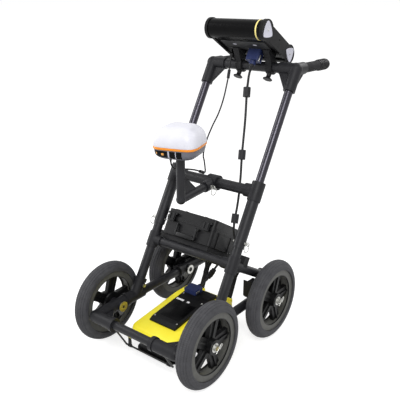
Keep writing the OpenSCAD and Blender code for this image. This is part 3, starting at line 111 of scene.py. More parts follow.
class Shader:
    """A material with one principled shader, and short words for its nodes."""

    def __init__(self, name):
        self.mat = bpy.data.materials.new(name)
        self.mat.use_nodes = True
        self.tree = self.mat.node_tree
        self.tree.nodes.clear()
        out = self.new("ShaderNodeOutputMaterial")
        self.bsdf = self.new("ShaderNodeBsdfPrincipled")
        self.link(self.bsdf.outputs[0], out.inputs[0])
        self.coord = self.new("ShaderNodeTexCoord").outputs["Object"]

    def new(self, kind):
        return self.tree.nodes.new(kind)

    def link(self, a, b):
        self.tree.links.new(a, b)

    def put(self, socket, value):
        if isinstance(value, bpy.types.NodeSocket):
            self.link(value, socket)
        else:
            socket.default_value = value

    def set(self, **sockets):
        for key, value in sockets.items():
            self.put(self.bsdf.inputs[key.replace("_", " ")], value)

    def scaled(self, sx, sy, sz, turn=(0, 0, 0)):
        """Coordinates turned first and stretched afterwards."""
        at = self.coord
        for key, value in (("Rotation", turn), ("Scale", (sx, sy, sz))):
            n = self.new("ShaderNodeMapping")
            n.inputs[key].default_value = value
            self.link(at, n.inputs[0])
            at = n.outputs[0]
        return at

    def texture(self, kind, at=None, **values):
        n = self.new(kind)
        for key, value in values.items():
            n.inputs[key].default_value = value
        self.link(at or self.coord, n.inputs["Vector"])
        return n

    def noise(self, scale, detail, rough, at=None):
        n = self.texture("ShaderNodeTexNoise", at, Scale=scale, Detail=detail, Roughness=rough)
        return n.outputs["Fac"]

    def cells(self, scale):
        return self.texture("ShaderNodeTexVoronoi", Scale=scale).outputs["Distance"]

    def bands(self, scale, axis, at):
        n = self.texture("ShaderNodeTexWave", at, Scale=scale)
        n.bands_direction = axis
        return n.outputs["Fac"]

    def span(self, value, low, high, to_low=0.0, to_high=1.0):
        n = self.new("ShaderNodeMapRange")
        self.link(value, n.inputs[0])
        for i, v in enumerate((low, high, to_low, to_high)):
            n.inputs[1 + i].default_value = v
        return n.outputs[0]

    def math(self, kind, a, b=0.0):
        n = self.new("ShaderNodeMath")
        n.operation = kind
        self.put(n.inputs[0], a)
        self.put(n.inputs[1], b)
        return n.outputs[0]

    def add(self, a, b):
        return self.math("ADD", a, b)

    def times(self, a, b):
        return self.math("MULTIPLY", a, b)

    def mix(self, share, a, b):
        n = self.new("ShaderNodeMix")
        n.data_type = "RGBA"
        self.put(n.inputs["Factor"], share)
        self.put(n.inputs[6], a)
        self.put(n.inputs[7], b)
        return n.outputs[2]

    def tint(self, a, b, value, low, high, most=1.0):
        """One colour that turns to another by up to that share as a value runs from low to high."""
        return self.mix(self.span(value, low, high, 0.0, most), a, b)

    def done(self, height, strength, depth):
        """The key, with its surface raised by a height."""
        n = self.new("ShaderNodeBump")
        n.inputs["Strength"].default_value = strength
        n.inputs["Distance"].default_value = depth
        self.link(height, n.inputs["Height"])
        self.set(Normal=n.outputs[0])
        return self.mat

    def axes(self):
        """The three coordinates, each on its own."""
        split = self.new("ShaderNodeSeparateXYZ")
        self.link(self.coord, split.inputs[0])
        return split.outputs

    def polar(self, y, z):
        """Distance in metres from an axis along X through that point of the cart, and angle round it."""
        _, at_y, at_z = self.axes()
        dy = self.math("SUBTRACT", at_y, (y - row_y) / 1000)
        dz = self.math("SUBTRACT", at_z, z / 1000)
        squares = self.add(self.times(dy, dy), self.times(dz, dz))
        return self.math("SQRT", squares), self.math("ARCTAN2", dz, dy)


lathe_run = (160, 1900, 1900)


def shade(c, k):
    return (c[0] * k, c[1] * k, c[2] * k, 1.0)


def finish_of(name, colour, rough, grain=2600.0, depth=0.00012, strength=0.35, mottle=35.0, vary=0.28,
              scuff=None, level=0.3, coat=0.0, spread=0.1):
    """A moulded or painted surface: mottled colour, fine grain, and scuffs where a colour is given."""
    s = Shader(name)
    colour = rgb(*colour)
    patch = s.noise(mottle, 4.0, 0.6)
    fine = s.noise(grain, 2.0, 0.6)
    body = s.tint(shade(colour, 1 - vary), shade(colour, 1 + vary), patch, 0.3, 0.7)
    body = s.tint(body, shade(colour, 1 + 1.6 * vary), fine, 0.35, 0.65, 0.35)
    if scuff:
        streak = s.noise(90.0, 6.0, 0.75, s.scaled(1.0, 1.0, 0.25, (0.4, 0.2, 0.1)))
        body = s.tint(body, rgb(*scuff), streak, 0.62, 0.78, 0.45)
    s.set(Base_Color=body, Specular_IOR_Level=level, Coat_Weight=coat)
    s.set(Roughness=s.add(s.span(patch, 0.25, 0.75, rough - spread, rough + spread),
                          s.span(fine, 0.3, 0.7, -0.04, 0.04)))
    return s.done(fine, strength, depth)


def metal_of(name, colour, rough, run):
    """Machined metal: fine lines across one direction, with faint stains."""
    s = Shader(name)
    lines = s.noise(1.0, 3.0, 0.7, s.scaled(*run))
    stain = s.noise(70.0, 5.0, 0.65)
    body = s.tint(colour, shade(colour, 0.62), stain, 0.35, 0.75)
    s.set(Base_Color=body, Metallic=1.0)
    s.set(Roughness=s.add(s.span(lines, 0.3, 0.7, rough - 0.08, rough + 0.08),
                          s.span(stain, 0.4, 0.8, 0.0, 0.15)))
    return s.done(lines, 0.2, 0.00008)


def axle_metal():
    """Turned steel, yellow zinc on the front axles and bright zinc on the rear ones."""
    s = Shader("axle_zinc")
    at_y = s.axes()[1]
    lines = s.noise(1.0, 3.0, 0.7, s.scaled(*lathe_run))
    stain = s.noise(90.0, 5.0, 0.65)
    ends = s.tint(rgb(200, 188, 138), rgb(206, 206, 202), at_y, -0.2, -0.1)
    body = s.tint(ends, rgb(128, 122, 104), stain, 0.4, 0.75, 0.6)
    s.set(Base_Color=body, Metallic=1.0)
    s.set(Roughness=s.add(s.span(lines, 0.3, 0.7, 0.24, 0.4), s.span(stain, 0.4, 0.8, 0.0, 0.15)))
    return s.done(lines, 0.2, 0.00008)


def polished_tube():
    """Dark anodised tube: drawing lines along the leg that change its roughness a little and are painted as
    lighter violet-grey streaks of reflection, and light wear.
    """
    s = Shader("polished_tube")
    lines = s.noise(1.0, 2.0, 0.5, s.scaled(90, 90, 0.6, (lean, 0, 0)))
    wear = s.noise(14.0, 2.0, 0.5)
    # painted reflection: the lines along the leg lighten the colour into pale violet-grey streaks
    body = s.tint(rgb(54, 53, 59), rgb(64, 62, 69), lines, 0.35, 0.7)
    body = s.tint(body, rgb(92, 90, 98), wear, 0.62, 0.8, 0.25)
    s.set(Base_Color=body, Metallic=0.8, Specular_IOR_Level=0.5)
    s.set(Roughness=s.add(s.span(lines, 0.3, 0.7, 0.26, 0.3), s.span(wear, 0.5, 0.8, 0.0, 0.06)))
    return s.done(wear, 0.02, 0.0001)


def rubber_tyre(name, y):
    """Tyre rubber: ribs round the sidewall, fine blocks on the tread, dust in the grain."""
    s = Shader(name)
    r, turn = s.polar(y, axle_z)
    dust = s.noise(30.0, 5.0, 0.65)
    grain = s.noise(1800.0, 2.0, 0.6)
    ribs = s.math("SINE", s.times(r, 2600.0))
    blocks = s.math("SINE", s.times(turn, 150.0))
    tread = s.span(r, 0.146, 0.151)
    height = s.add(s.times(ribs, s.span(tread, 0.0, 1.0, 0.35, 0.0)), s.times(s.times(blocks, tread), 0.7))
    height = s.add(height, s.times(grain, 0.8))
    body = s.tint(rgb(57, 57, 60), rgb(79, 79, 82), dust, 0.3, 0.75)
    body = s.mix(s.span(s.times(blocks, tread), 0.2, 0.9, 0.0, 0.18), body, rgb(44, 44, 46))
    s.set(Base_Color=body, Specular_IOR_Level=0.25)
    s.set(Roughness=s.add(s.span(dust, 0.3, 0.7, 0.62, 0.8), s.span(grain, 0.3, 0.7, -0.05, 0.05)))
    return s.done(height, 0.45, 0.0004)


def wheel_plastic(name, y):
    """Moulded wheel: black spokes and hub inside a paler, matt rim ring."""
    s = Shader(name)
    r, _ = s.polar(y, axle_z)
    patch = s.noise(40.0, 4.0, 0.6)
    grain = s.noise(2400.0, 2.0, 0.6)
    ring = s.times(s.span(r, 0.0995, 0.101), s.span(r, 0.1216, 0.1206))
    spoke = s.tint(rgb(10, 10, 11), rgb(18, 18, 19), patch, 0.3, 0.7)
    rim = s.tint(rgb(76, 76, 73), rgb(94, 94, 90), patch, 0.3, 0.7)
    s.set(Base_Color=s.mix(ring, spoke, rim), Specular_IOR_Level=0.2)
    s.set(Roughness=s.add(s.span(patch, 0.25, 0.75, 0.36, 0.54), s.span(grain, 0.3, 0.7, -0.05, 0.05)))
    return s.done(grain, 0.3, 0.00012)


def webbing_of(name, turn):
    """Woven strap: ribs across, twill along, and a fuzz of loose fibre."""
    s = Shader(name)
    at = s.scaled(1.0, 1.0, 1.0, (turn, 0, 0))
    warp = s.bands(160.0, "X", at)
    weft = s.bands(120.0, "Z", at)
    fuzz = s.noise(3200.0, 2.0, 0.7)
    weave = s.add(s.times(warp, weft), s.times(fuzz, 0.3))
    body = s.tint(rgb(9, 9, 10), rgb(40, 40, 43), weave, 0.15, 0.9)
    s.set(Base_Color=body, Specular_IOR_Level=0.2, Sheen_Weight=0.25)
    s.set(Roughness=s.span(weave, 0.1, 1.0, 0.92, 0.7))
    return s.done(weave, 0.8, 0.0005)


def foam_grip():
    """Closed-cell foam: small pits, dull, with a few rubbed places."""
    s = Shader("foam_grip")
    pits = s.cells(520.0)
    rub = s.noise(28.0, 5.0, 0.65)
    body = s.tint(rgb(14, 14, 15), rgb(36, 36, 38), pits, 0.05, 0.5)
    body = s.tint(body, rgb(52, 52, 54), rub, 0.58, 0.76, 0.4)
    s.set(Base_Color=body, Specular_IOR_Level=0.2)
    s.set(Roughness=s.span(rub, 0.3, 0.7, 0.72, 0.9))
    return s.done(pits, 0.5, 0.0005)


def screen_glass():
    """Dark cover glass with a faint grey panel under it and wiped smears."""
    s = Shader("screen_glass")
    smear = s.noise(22.0, 5.0, 0.7, s.scaled(1.0, 0.3, 1.0))
    dots = s.noise(2600.0, 1.0, 0.5)
    body = s.tint(rgb(14, 16, 19), rgb(30, 34, 38), smear, 0.3, 0.7)
    s.set(Base_Color=s.tint(body, rgb(38, 43, 48), dots, 0.4, 0.6, 0.3))
    s.set(Roughness=s.span(smear, 0.35, 0.75, 0.06, 0.2), Specular_IOR_Level=0.5, Coat_Weight=0.6)
    return s.done(smear, 0.03, 0.0001)


def receiver_white():
    """Pale moulded dome: satin, a cool grey-white with random patches a little paler, with fine moulding
    grain.
    """
    s = Shader("receiver_white")
    patch = s.noise(18.0, 4.0, 0.55)
    grain = s.noise(2200.0, 2.0, 0.6)
    body = s.tint(rgb(217, 217, 226), rgb(229, 229, 236), patch, 0.3, 0.7)
    s.set(Base_Color=s.tint(body, rgb(206, 206, 217), grain, 0.3, 0.7, 0.2))
    s.set(Roughness=s.span(patch, 0.3, 0.7, 0.34, 0.46), Specular_IOR_Level=0.4)
    return s.done(grain, 0.12, 0.0001)


def safety_yellow():
    """Thick moulded plastic: even yellow, waxy, with rubbed places and a little soil near the ground."""
    s = Shader("safety_yellow")
    patch = s.noise(14.0, 4.0, 0.6)
    grain = s.noise(1500.0, 3.0, 0.6)
    rub = s.noise(75.0, 6.0, 0.75, s.scaled(1.0, 0.2, 1.0))
    soil = s.noise(48.0, 5.0, 0.7)
    low = s.span(s.axes()[2], 0.1, 0.058)
    body = s.tint(rgb(253, 234, 44), rgb(255, 242, 66), patch, 0.3, 0.7)
    body = s.tint(body, rgb(252, 240, 120), rub, 0.63, 0.8, 0.35)
    body = s.mix(s.times(low, s.span(soil, 0.45, 0.75, 0.0, 0.5)), body, rgb(150, 128, 60))
    s.set(Base_Color=body, Specular_IOR_Level=0.4)
    s.set(Roughness=s.add(s.span(patch, 0.3, 0.7, 0.36, 0.48), s.span(rub, 0.5, 0.8, 0.0, 0.12)))
    return s.done(grain, 0.16, 0.00018)


mat = {
    "moulded": finish_of("moulded_black", (22, 22, 24), 0.5, scuff=(44, 44, 46), level=0.2),
    "case": finish_of("case_black", (13, 13, 15), 0.42, 1700.0, 0.00025, 0.4, scuff=(40, 40, 43), level=0.24),
    "tube": finish_of("powder_coat", (30, 30, 33), 0.42, 1500.0, 0.0002, 0.35, scuff=(54, 54, 60),
                      level=0.25),
    "corner": finish_of("corner_black", (28, 28, 31), 0.5, 2200.0, scuff=(52, 52, 56), level=0.22),
    "bright": polished_tube(),
    "steel": metal_of("zinc_steel", rgb(196, 196, 192), 0.32, lathe_run),
    "axle": axle_metal(),
    "label": finish_of("label_bare", (226, 226, 228), 0.55, 2600.0, 0.00005, 0.2, 60.0, 0.04),
    "wire": finish_of("black_wire", (24, 24, 26), 0.4, 3000.0, scuff=(80, 80, 82), level=0.45),
    "grip": foam_grip(),
    "cable": finish_of("cable_jacket", (24, 24, 26), 0.55, 3200.0, 0.00008, 0.3, 60.0),
    "ferrite": finish_of("ferrite_shell", (30, 30, 33), 0.6, 2600.0, 0.0002, 0.5, 60.0),
    "charcoal": finish_of("receiver_charcoal", (104, 104, 112), 0.48, 2400.0, vary=0.12,
                          scuff=(130, 130, 138)),
    "orange": finish_of("receiver_orange", (240, 148, 46), 0.42, 2400.0, vary=0.1, scuff=(246, 170, 84)),
    "white": receiver_white(),
    "gloss": finish_of("gloss_black", (5, 5, 6), 0.3, 3400.0, 0.00004, 0.12, 24.0, scuff=(14, 14, 16),
                       level=0.08, spread=0.06),
    "satin": finish_of("satin_black", (14, 14, 15), 0.44, 2600.0, scuff=(34, 34, 36), level=0.15),
    "underside": finish_of("underside_grey", (40, 41, 42), 0.5, 2200.0, scuff=(60, 61, 62)),
    "glass": screen_glass(),
    "board": finish_of("board_green", (30, 84, 50), 0.5, 900.0, 0.0003, 0.5, 120.0),
    "plate": finish_of("plate_pale", (208, 208, 220), 0.42, 2400.0, vary=0.07, scuff=(186, 186, 200)),
    "navy": finish_of("navy_plastic", (34, 44, 84), 0.46, 2200.0, vary=0.2, scuff=(58, 70, 116)),
    "red": finish_of("button_red", (176, 30, 28), 0.4, 2600.0, vary=0.12, scuff=(200, 70, 62)),
    "stripe": finish_of("stripe_pale_yellow", (240, 224, 140), 0.4, 2400.0, vary=0.06, scuff=(228, 210, 120)),
    "yellow": safety_yellow(),
    "antenna": finish_of("antenna_grey", (128, 132, 130), 0.5, 1600.0, vary=0.15),
    "pack": finish_of("pack_grey", (84, 86, 92), 0.5, 1800.0, vary=0.15, scuff=(110, 112, 118)),
    "strap": webbing_of("webbing_rear", 0.42),
    "tab": webbing_of("webbing_front", 0.0),
    "thread": finish_of("stitch_thread", (66, 66, 70), 0.8, 2600.0, 0.0003, 0.6, 300.0),
    "amber": finish_of("lamp_amber", (236, 164, 60), 0.25, 2600.0, vary=0.1, coat=0.4),
}


# Mesh builders; every point is in the cart's frame, in millimetres

def mesh_of(name, points, faces, key, sharp=0.7):
    """A mesh with one material, smooth apart from edges sharper than that angle."""
    mesh = bpy.data.meshes.new(name)
    mesh.from_pydata([row(p) for p in points], [], faces)
    mesh.validate()
    mesh.update()
    work = bmesh.new()
    work.from_mesh(mesh)
    bmesh.ops.recalc_face_normals(work, faces=work.faces[:])
    work.to_mesh(mesh)
    work.free()
    mesh.shade_smooth()
    mesh.set_sharp_from_angle(angle=sharp)
    mesh.materials.append(mat[key])
    return new_object(name, mesh)


def rings_of(rings, closed=False, caps=True):
    """Faces between rings that have the same number of points."""
    n = len(rings[0])
    points = [p for ring in rings for p in ring]
    faces = []
    last = len(rings) if closed else len(rings) - 1
    for i in range(last):
        a, b = i * n, ((i + 1) % len(rings)) * n
        for k in range(n):
            j = (k + 1) % n
            faces.append((a + k, a + j, b + j, b + k))
    if caps and not closed:
        faces.append(tuple(range(n))[::-1])
        faces.append(tuple(len(points) - n + k for k in range(n)))
    return points, faces


def frames_along(path):
    """Two directions across a path at each of its points, turned as little as possible."""
    runs = []
    for i in range(len(path)):
        d = path[min(i + 1, len(path) - 1)] - path[max(i - 1, 0)]
        runs.append(d.normalized())
    e = runs[0].orthogonal().normalized()
    out = []
    for d in runs:
        e = (e - d * e.dot(d)).normalized()
        out.append((e, d.cross(e)))
    return out


def circle(centre, radius, e, f, sides):
    """Points of a circle in the plane of two directions."""
    turns = [k * tau / sides for k in range(sides)]
    return [centre + radius * (cos(a) * e + sin(a) * f) for a in turns]


def tube_of(name, path, radius, key, sides):
    rings = [circle(p, radius, e, f, sides) for p, (e, f) in zip(path, frames_along(path))]
    return mesh_of(name, *rings_of(rings), key, sharp=1.2)


def turned(name, at, direction, profile, key, sides):
    """A turned piece: profile of (distance along, radius) from a point in a direction."""
    d = Vector(direction).normalized()
    e = d.orthogonal().normalized()
    f = d.cross(e)
    least = 0.01
    rings = [circle(Vector(at) + d * t, max(r, least), e, f, sides) for t, r in profile]
    return mesh_of(name, *rings_of(rings), key, sharp=0.6)


def curve_through(points, count):
    """A smooth curve through points, with the count of samples between each two."""
    points = [Vector(p) for p in points]
    last = len(points) - 1
    out = []
    for i in range(last):
        a, b, c, d = points[max(i - 1, 0)], points[i], points[i + 1], points[min(i + 2, last)]
        for k in range(count):
            u = k / count
            out.append((2 * b + (c - a) * u + (2 * a - 5 * b + 4 * c - d) * u * u
                        + (3 * b - a - 3 * c + d) * u ** 3) / 2)
    out.append(points[-1])
    return out


def length_of(path):
    """The length of a path, in metres."""
    return sum((b - a).length for a, b in zip(path, path[1:])) / 1000


def put(obj, body, slot, *replaced):
    """The body that a piece moves with, its slot (not used), and the solids that it stands for."""
    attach(obj, body)
    if replaced:
        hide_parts(*replaced)


def block(name, place, size, round_by, key, body, slot, steps=3):
    """A box with rounded edges, on a body; place turns its own points into the cart's frame."""
    work = bmesh.new()
    bmesh.ops.create_cube(work, size=1.0)
    for v in work.verts:
        v.co = Vector((v.co.x * size[0], v.co.y * size[1], v.co.z * size[2]))
    bmesh.ops.bevel(work, geom=work.edges[:], offset=round_by, segments=steps, profile=0.5, affect="EDGES")
    points = [place(*v.co) for v in work.verts]
    work.verts.index_update()
    faces = [tuple(v.index for v in f.verts) for f in work.faces]
    work.free()
    put(mesh_of(name, points, faces, key, sharp=1.0), body, slot)


def dress(name, material):
    """One material for a solid that stays."""
    nodes[name].data.materials.clear()
    nodes[name].data.materials.append(material)


# Camera

camera = new_object("camera", bpy.data.cameras.new("camera"))
scene.camera = camera
azimuth, elevation = radians(38.4), radians(19.7)
towards = Vector((sin(azimuth) * cos(elevation), -cos(azimuth) * cos(elevation), sin(elevation)))
camera.location = row((1258.4, -1523.9, 1271.4))
camera.rotation_mode = "QUATERNION"
camera.rotation_quaternion = (-towards).to_track_quat("-Z", "Y")
camera.data.sensor_width = 36.0
camera.data.lens = 51.93
camera.data.clip_start, camera.data.clip_end = 0.05, 100.0


# Cables: the routes of the solids

joint_at = Vector((-8, shelf_rear[0] - 38, shelf_rear[1] - 47))
joint_run = Vector((0.45, 0.3, 0.84)).normalized()
joint_half = 22.5
gps_entry = (-29, arm_y - 19)
main_r, gps_r = 4.5, 3.0


def from_leg(s, table):
    return [lean_point(x, s + up, back) for x, up, back in table]


def from_point(at, table):
    return [Vector(at) + Vector(p) for p in table]


main_route = (
    [lean_point(33, handle_s - 18.6, -53)]
    + from_leg(handle_s, [
        (33, -36, -53), (34, -62, -51), (36.5, -92, -44.5), (39, -122, -37), (59, -223, -19), (80, -353, 3)])
    + from_leg(shelf_s, [
        (94, 320, 21), (106, 238, 35), (113.5, 168, 42.5), (116.5, 134, 50), (115.5, 107, 74),
        (109, 87, 104), (102, 66, 128.5), (93.5, 45.5, 148.5), (82.5, 27, 163), (66.5, 12, 171.5),
        (47.5, 1.5, 176.5), (28.5, -6.5, 179)])
    + [joint_at + 2 * joint_half * joint_run, joint_at + joint_half * joint_run])
lower_route = (
    [Vector((socket_x, 92.5, 163.3)), Vector((socket_x, 99.5, 163.4))]
    + from_point(joint_at, [
        (-21.5, -39, -41), (-20, -28.5, -38.5), (-17.5, -18.5, -33.5), (-13.5, -10, -27)])
    + [joint_at - joint_half * joint_run])
gps_route = (
    [lean_point(gland_x, handle_s + 21.5, -45)]
    + from_leg(handle_s, [
        (-78, 4, -44), (-79, -14, -38.5), (-80.5, -32, -29.5), (-82, -51, -20.5), (-83, -72, -13.5),
        (-82.5, -100, -8.5), (-80, -135, -6), (-76, -175, -8.5), (-74, -220, -14), (-77, -265, -20),
        (-81, -315, -21), (-82, -356, -18.5), (-76, -390, -17)])
    + from_point((0, arm_y, tee_z), [
        (-62.5, 214.5, 67.5), (-49.5, 202.5, 48.5), (-36, 187, 38), (-26.5, 167, 39), (-20.5, 145.5, 48),
        (-17, 121.5, 58.5), (-16, 94.5, 69), (-19, 65.5, 77.5), (-24, 34.5, 84.5), (-28.5, 8, 92),
        (-29, -11, 103.5)])
    + [Vector((*gps_entry, gps_z - 21.5)), Vector((*gps_entry, gps_z - 0.5))])

main_path = curve_through(main_route, 10)
lower_path = curve_through(lower_route, 12)
gps_path = curve_through(gps_route, 8)

main_cable = tube_of("main_cable", main_path, main_r, "cable", 16)
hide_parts("main_cable_upper")
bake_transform(main_cable)

joint_cut = [(0, 10.05), (0.4, 11.4), (1.6, 11.9), (2.6, 11.2), (3.6, 11.9), (4.6, 11.2), (5.6, 11.9),
             (6.6, 11.2), (7.6, 11.9), (9.0, 11.4), (9.6, 10.6), (10.4, 10.6), (11, 11.6), (23, 11.6),
             (24, 10.05)]
joint_nut = turned("cable_joint_nut", joint_at - joint_run * 12, joint_run, joint_cut, "moulded", 48)
put(joint_nut, "cart", "black_plastic")

lower_cable = tube_of("sensor_cable", lower_path, main_r, "cable", 16)
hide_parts("main_cable_lower")
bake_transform(lower_cable)

gps_cable = tube_of("receiver_cable", gps_path, gps_r, "cable", 12)
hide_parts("gps_cable")
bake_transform(gps_cable)


def boot(name, at, direction, length, from_r, to_r, body):
    """A tapered, ribbed strain relief over the first stretch of a cable."""
    profile = [(-1.5, from_r * 0.8), (-1.5, from_r), (1.5, from_r + 0.4), (2.5, from_r)]
    pitch = 4.5
    ribs = max(3, int(length / pitch))
    for k in range(ribs):
        for share, out in ((0.1, -0.8), (0.45, -0.8), (0.6, 0.0), (0.95, 0.0)):
            f = (k + share) / ribs
            profile.append((3 + (length - 4) * f, from_r + (to_r - from_r) * f + out))
    profile += [(length - 0.4, to_r), (length, to_r - 0.6)]
    put(turned(name, at, direction, profile, "cable", 32), body, "cable_jacket")


down_leg = hand(0, 0, -1) - hand(0, 0, 0)
boot("plug_boot", hand(plug_x, -53, -18.2), down_leg, 24, 9.2, 5.4, "display")
boot("gland_boot", lean_point(gland_x, handle_s + 22, -45), down_leg, 15, 5.2, 3.1, "display")
boot("sensor_boot", (socket_x, 97.1, 163.3), (0, 1, 0), 13, 7.2, 5.4, "sensor")
boot("receiver_boot", (*gps_entry, gps_z + 1), (0, 0, -1), 22, 7.4, 3.4, "cart")


# Straps

def ribbon(name, x, width, line, key):
    """A flat strap along a line of (y, z) points, with rounded edges."""
    under = [(-0.5, -0.3), (-0.47, -0.5), (-0.25, -0.5), (0, -0.5), (0.25, -0.5), (0.47, -0.5), (0.5, -0.3)]
    section = under + [(-u, -t) for u, t in under]
    pts = [Vector((0, y, z)) for y, z in line]
    rings = []
    for i, p in enumerate(pts):
        d = (pts[min(i + 1, len(pts) - 1)] - pts[max(i - 1, 0)]).normalized()
        n = Vector((0, -d.z, d.y))
        rings.append([Vector((x + u * width, p.y, p.z)) + n * t * webbing_t for u, t in section])
    return mesh_of(name, *rings_of(rings), key, sharp=0.9)


def run_frame(run):
    """A direction in the side view, and the one square to it."""
    d = Vector((0, *run)).normalized()
    return d, Vector((0, -d.z, d.y))


def looped_line(centre, loop_r, run, tail, low):
    """A strap's line: up from its sewn tail, round a bar, and down to its low end."""
    ply, neck = 0.85, 1.1
    c, end = Vector((0, *centre)), Vector((0, *low))
    d, n = run_frame(run)
    sewn, near = c + d * (tail * 0.8), c + d * (loop_r * 2.1)
    line = [c + d * tail - n * ply, sewn - n * ply, near - n * neck]
    for k in range(-2, 15):
        phi = radians(15.0 * k)
        line.append(c + loop_r * (-n * cos(phi) - d * sin(phi)))
    line += [near + n * neck, sewn + n * ply]
    span = (end - line[-1]).length
    line += [line[-1].lerp(end, k / 4) for k in range(1, 5)] if span > 8 else [end]
    return [(p.y, p.z) for p in curve_through(line, 4)]


def stitches(name, x, width, at, run, length):
    """A box of stitches sewn through two plies, standing just proud of the strap."""
    edge, pitch, half_long, half_wide, off = 3, 3, 1.1, 0.35, 1.7
    d, n = run_frame(run)
    c = Vector((x, *at))
    half = width / 2 - edge
    rows = [(u, t) for u in (-half, half) for t in range(0, int(length), pitch)]
    rows += [(u * pitch - half, t) for t in (0, int(length) - pitch) for u in range(1, int(2 * half / pitch))]
    points, faces = [], []
    for side in (-1, 1):
        for u, t in rows:
            p = c + Vector((u, 0, 0)) + d * t + n * side * off
            lying = Vector((1, 0, 0)) if abs(abs(u) - half) > 0.5 else d
            across = lying.cross(n)
            k = len(points)
            points += [p - lying * half_long, p + across * half_wide, p + lying * half_long,
                       p - across * half_wide, p + n * side * half_wide]
            faces += [(k, k + 1, k + 4), (k + 1, k + 2, k + 4), (k + 2, k + 3, k + 4), (k + 3, k, k + 4),
                      (k + 3, k + 2, k + 1, k)]
    return mesh_of(name, points, faces, "thread")


webbing_t = 1.5
strap_w, strap_loop, strap_tail, strap_sewn = 24, 18.1, 66, 44
strap_low = (133.0, 135.8)
strap_run = (strap_low[0] - shelf_rear[0], strap_low[1] - shelf_rear[1])
for i, x in enumerate(strap_xs):
    line = looped_line(shelf_rear, strap_loop, strap_run, strap_tail, strap_low)
    strap = ribbon(f"rear_strap_{i}", x, strap_w, line, "strap")
    if i == 0:
        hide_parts("sling_straps")
    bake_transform(strap)
    length_of([Vector((0, *q)) for q in line])
    d, _ = run_frame(strap_run)
    sewn_at = (shelf_rear[0] + d.y * strap_sewn, shelf_rear[1] + d.z * strap_sewn)
    put(stitches(f"rear_strap_stitches_{i}", x, strap_w, sewn_at, strap_run, 20), "cart", "webbing")

tab_w, tab_loop, tab_tail = 16, 4.6, 26
tab_y, bail_z, tab_top = -236, 30, 64.7
for i, side in enumerate((-1, 1)):
    line = looped_line((tab_y, bail_z), tab_loop, (0, 1), tab_tail, (tab_y, tab_top))
    tab = ribbon(f"front_tab_{i}", side * tab_x, tab_w, line, "tab")
    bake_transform(tab)
    length_of([Vector((0, *q)) for q in line])


# Tyres

tyre_ring, tyre_half, tyre_steps = 128, 28, 120


def tyre_section():
    """Radius and distance across, from the inner bead over the tread to the outer bead."""
    bead = [(122.25, 20.0), (122.15, 26.0)]
    cut = acos((122.1 - tyre_ring) / tyre_half)
    grooves, groove_half, groove_deep = (-52, -34, -12, 12, 34, 52), 3.2, 1.5
    steps = 92
    out = [(r, -x) for r, x in bead]
    for k in range(steps + 1):
        a = -cut + 2 * cut * k / steps
        deg = degrees(a)
        deep = max(1 - abs(deg - g) / groove_half for g in grooves)
        r = 27.95 - groove_deep * min(max(deep, 0.0) * 1.8, 1.0)
        if 84 < abs(deg) < 90:
            r -= 0.7
        out.append((tyre_ring + r * cos(a), r * sin(a)))
    return out + bead[::-1]


section = tyre_section()
for end, y in (("front", -axle_y), ("rear", axle_y)):
    for tag, side in both_sides:
        corner = f"{end}_{tag}"
        rings = []
        for k in range(tyre_steps):
            a = k * tau / tyre_steps
            rings.append([Vector((side * wheel_x + x, y + r * cos(a), axle_z + r * sin(a)))
                          for r, x in section])
        rubber = f"tyre_{corner}"
        mat[rubber] = rubber_tyre(rubber, y)
        tyre = mesh_of(f"{corner}_tyre_dressed", *rings_of(rings, closed=True), rubber, sharp=0.9)
        put(tyre, f"{corner}_wheel_body", "tyre", f"{corner}_tyre")
        dress(f"{corner}_wheel", wheel_plastic(f"wheel_{corner}", y))


# Receiver

def on_mast(x, y, z):
    """A point of the receiver, which is turned a little on its mast."""
    c, s = cos(gps_turn), sin(gps_turn)
    return Vector((x * c - y * s, arm_y + x * s + y * c, z))


def power(corner):
    """The exponent of a plan that is nearly square at 0 and a circle at 1."""
    return 2.0 + 3.2 * (1 - corner)


def squircle(half, corner, z):
    """A square plan with round corners and slightly bowed sides."""
    n, p = 96, power(corner)
    ring = []
    for k in range(n):
        a = k * tau / n
        c, s = cos(a), sin(a)
        r = half / (abs(c) ** p + abs(s) ** p) ** (1 / p)
        ring.append(on_mast(r * c, r * s, z))
    return ring


def receiver(name, table, key, slot, replaced):
    """A shell of the receiver from a table of (height, half width, corner)."""
    rings = [squircle(half, corner, z) for z, half, corner in table]
    put(mesh_of(name, *rings_of(rings), key, sharp=0.6), "cart", slot, replaced)


base_table = [(740, 53.2, 0.3), (740.5, 56.7, 0.28), (742.7, 61.9, 0.25), (746.8, 67.7, 0.2),
              (750.8, 71.7, 0.17), (755.3, 74.4, 0.15), (760.7, 76.1, 0.13), (768.8, 77.4, 0.12),
              (776, 78, 0.1)]
band_table = [(776, 76.5, 0.1), (776.2, 79.2, 0.1), (777.6, 80.6, 0.1), (782.2, 81, 0.1), (783.6, 80.2, 0.1),
              (784, 78, 0.1)]
dome_table = [(784, 77.6, 0.1), (784.8, 79.6, 0.1), (788, 80.2, 0.1), (799.2, 79.4, 0.12),
              (810.7, 77.4, 0.15), (819.5, 74.5, 0.18), (827.2, 70.6, 0.22), (833.5, 66.2, 0.26),
              (839.2, 60.8, 0.3), (843.7, 55.1, 0.34), (846.7, 49.2, 0.38), (848.7, 42.2, 0.42),
              (849.7, 32.4, 0.46), (850, 18.5, 0.5), (850, 4.6, 0.5)]
receiver("receiver_base", base_table, "charcoal", "receiver_grey", "gps_base")
receiver("receiver_band", band_table, "orange", "receiver_orange", "gps_band")
receiver("receiver_dome", dome_table, "white", "receiver_white", "gps_dome")


def base_face(x, z, out):
    """A point on the front face of the receiver's base, moved out from it."""
    for (za, ha, ca), (zb, hb, cb) in zip(base_table, base_table[1:]):
        if z <= zb:
            break
    f = min(max((z - za) / (zb - za), 0), 1)
    half, p = ha + (hb - ha) * f, power(ca + (cb - ca) * f)
    return on_mast(x, -(half ** p - abs(x) ** p) ** (1 / p) - out, z)


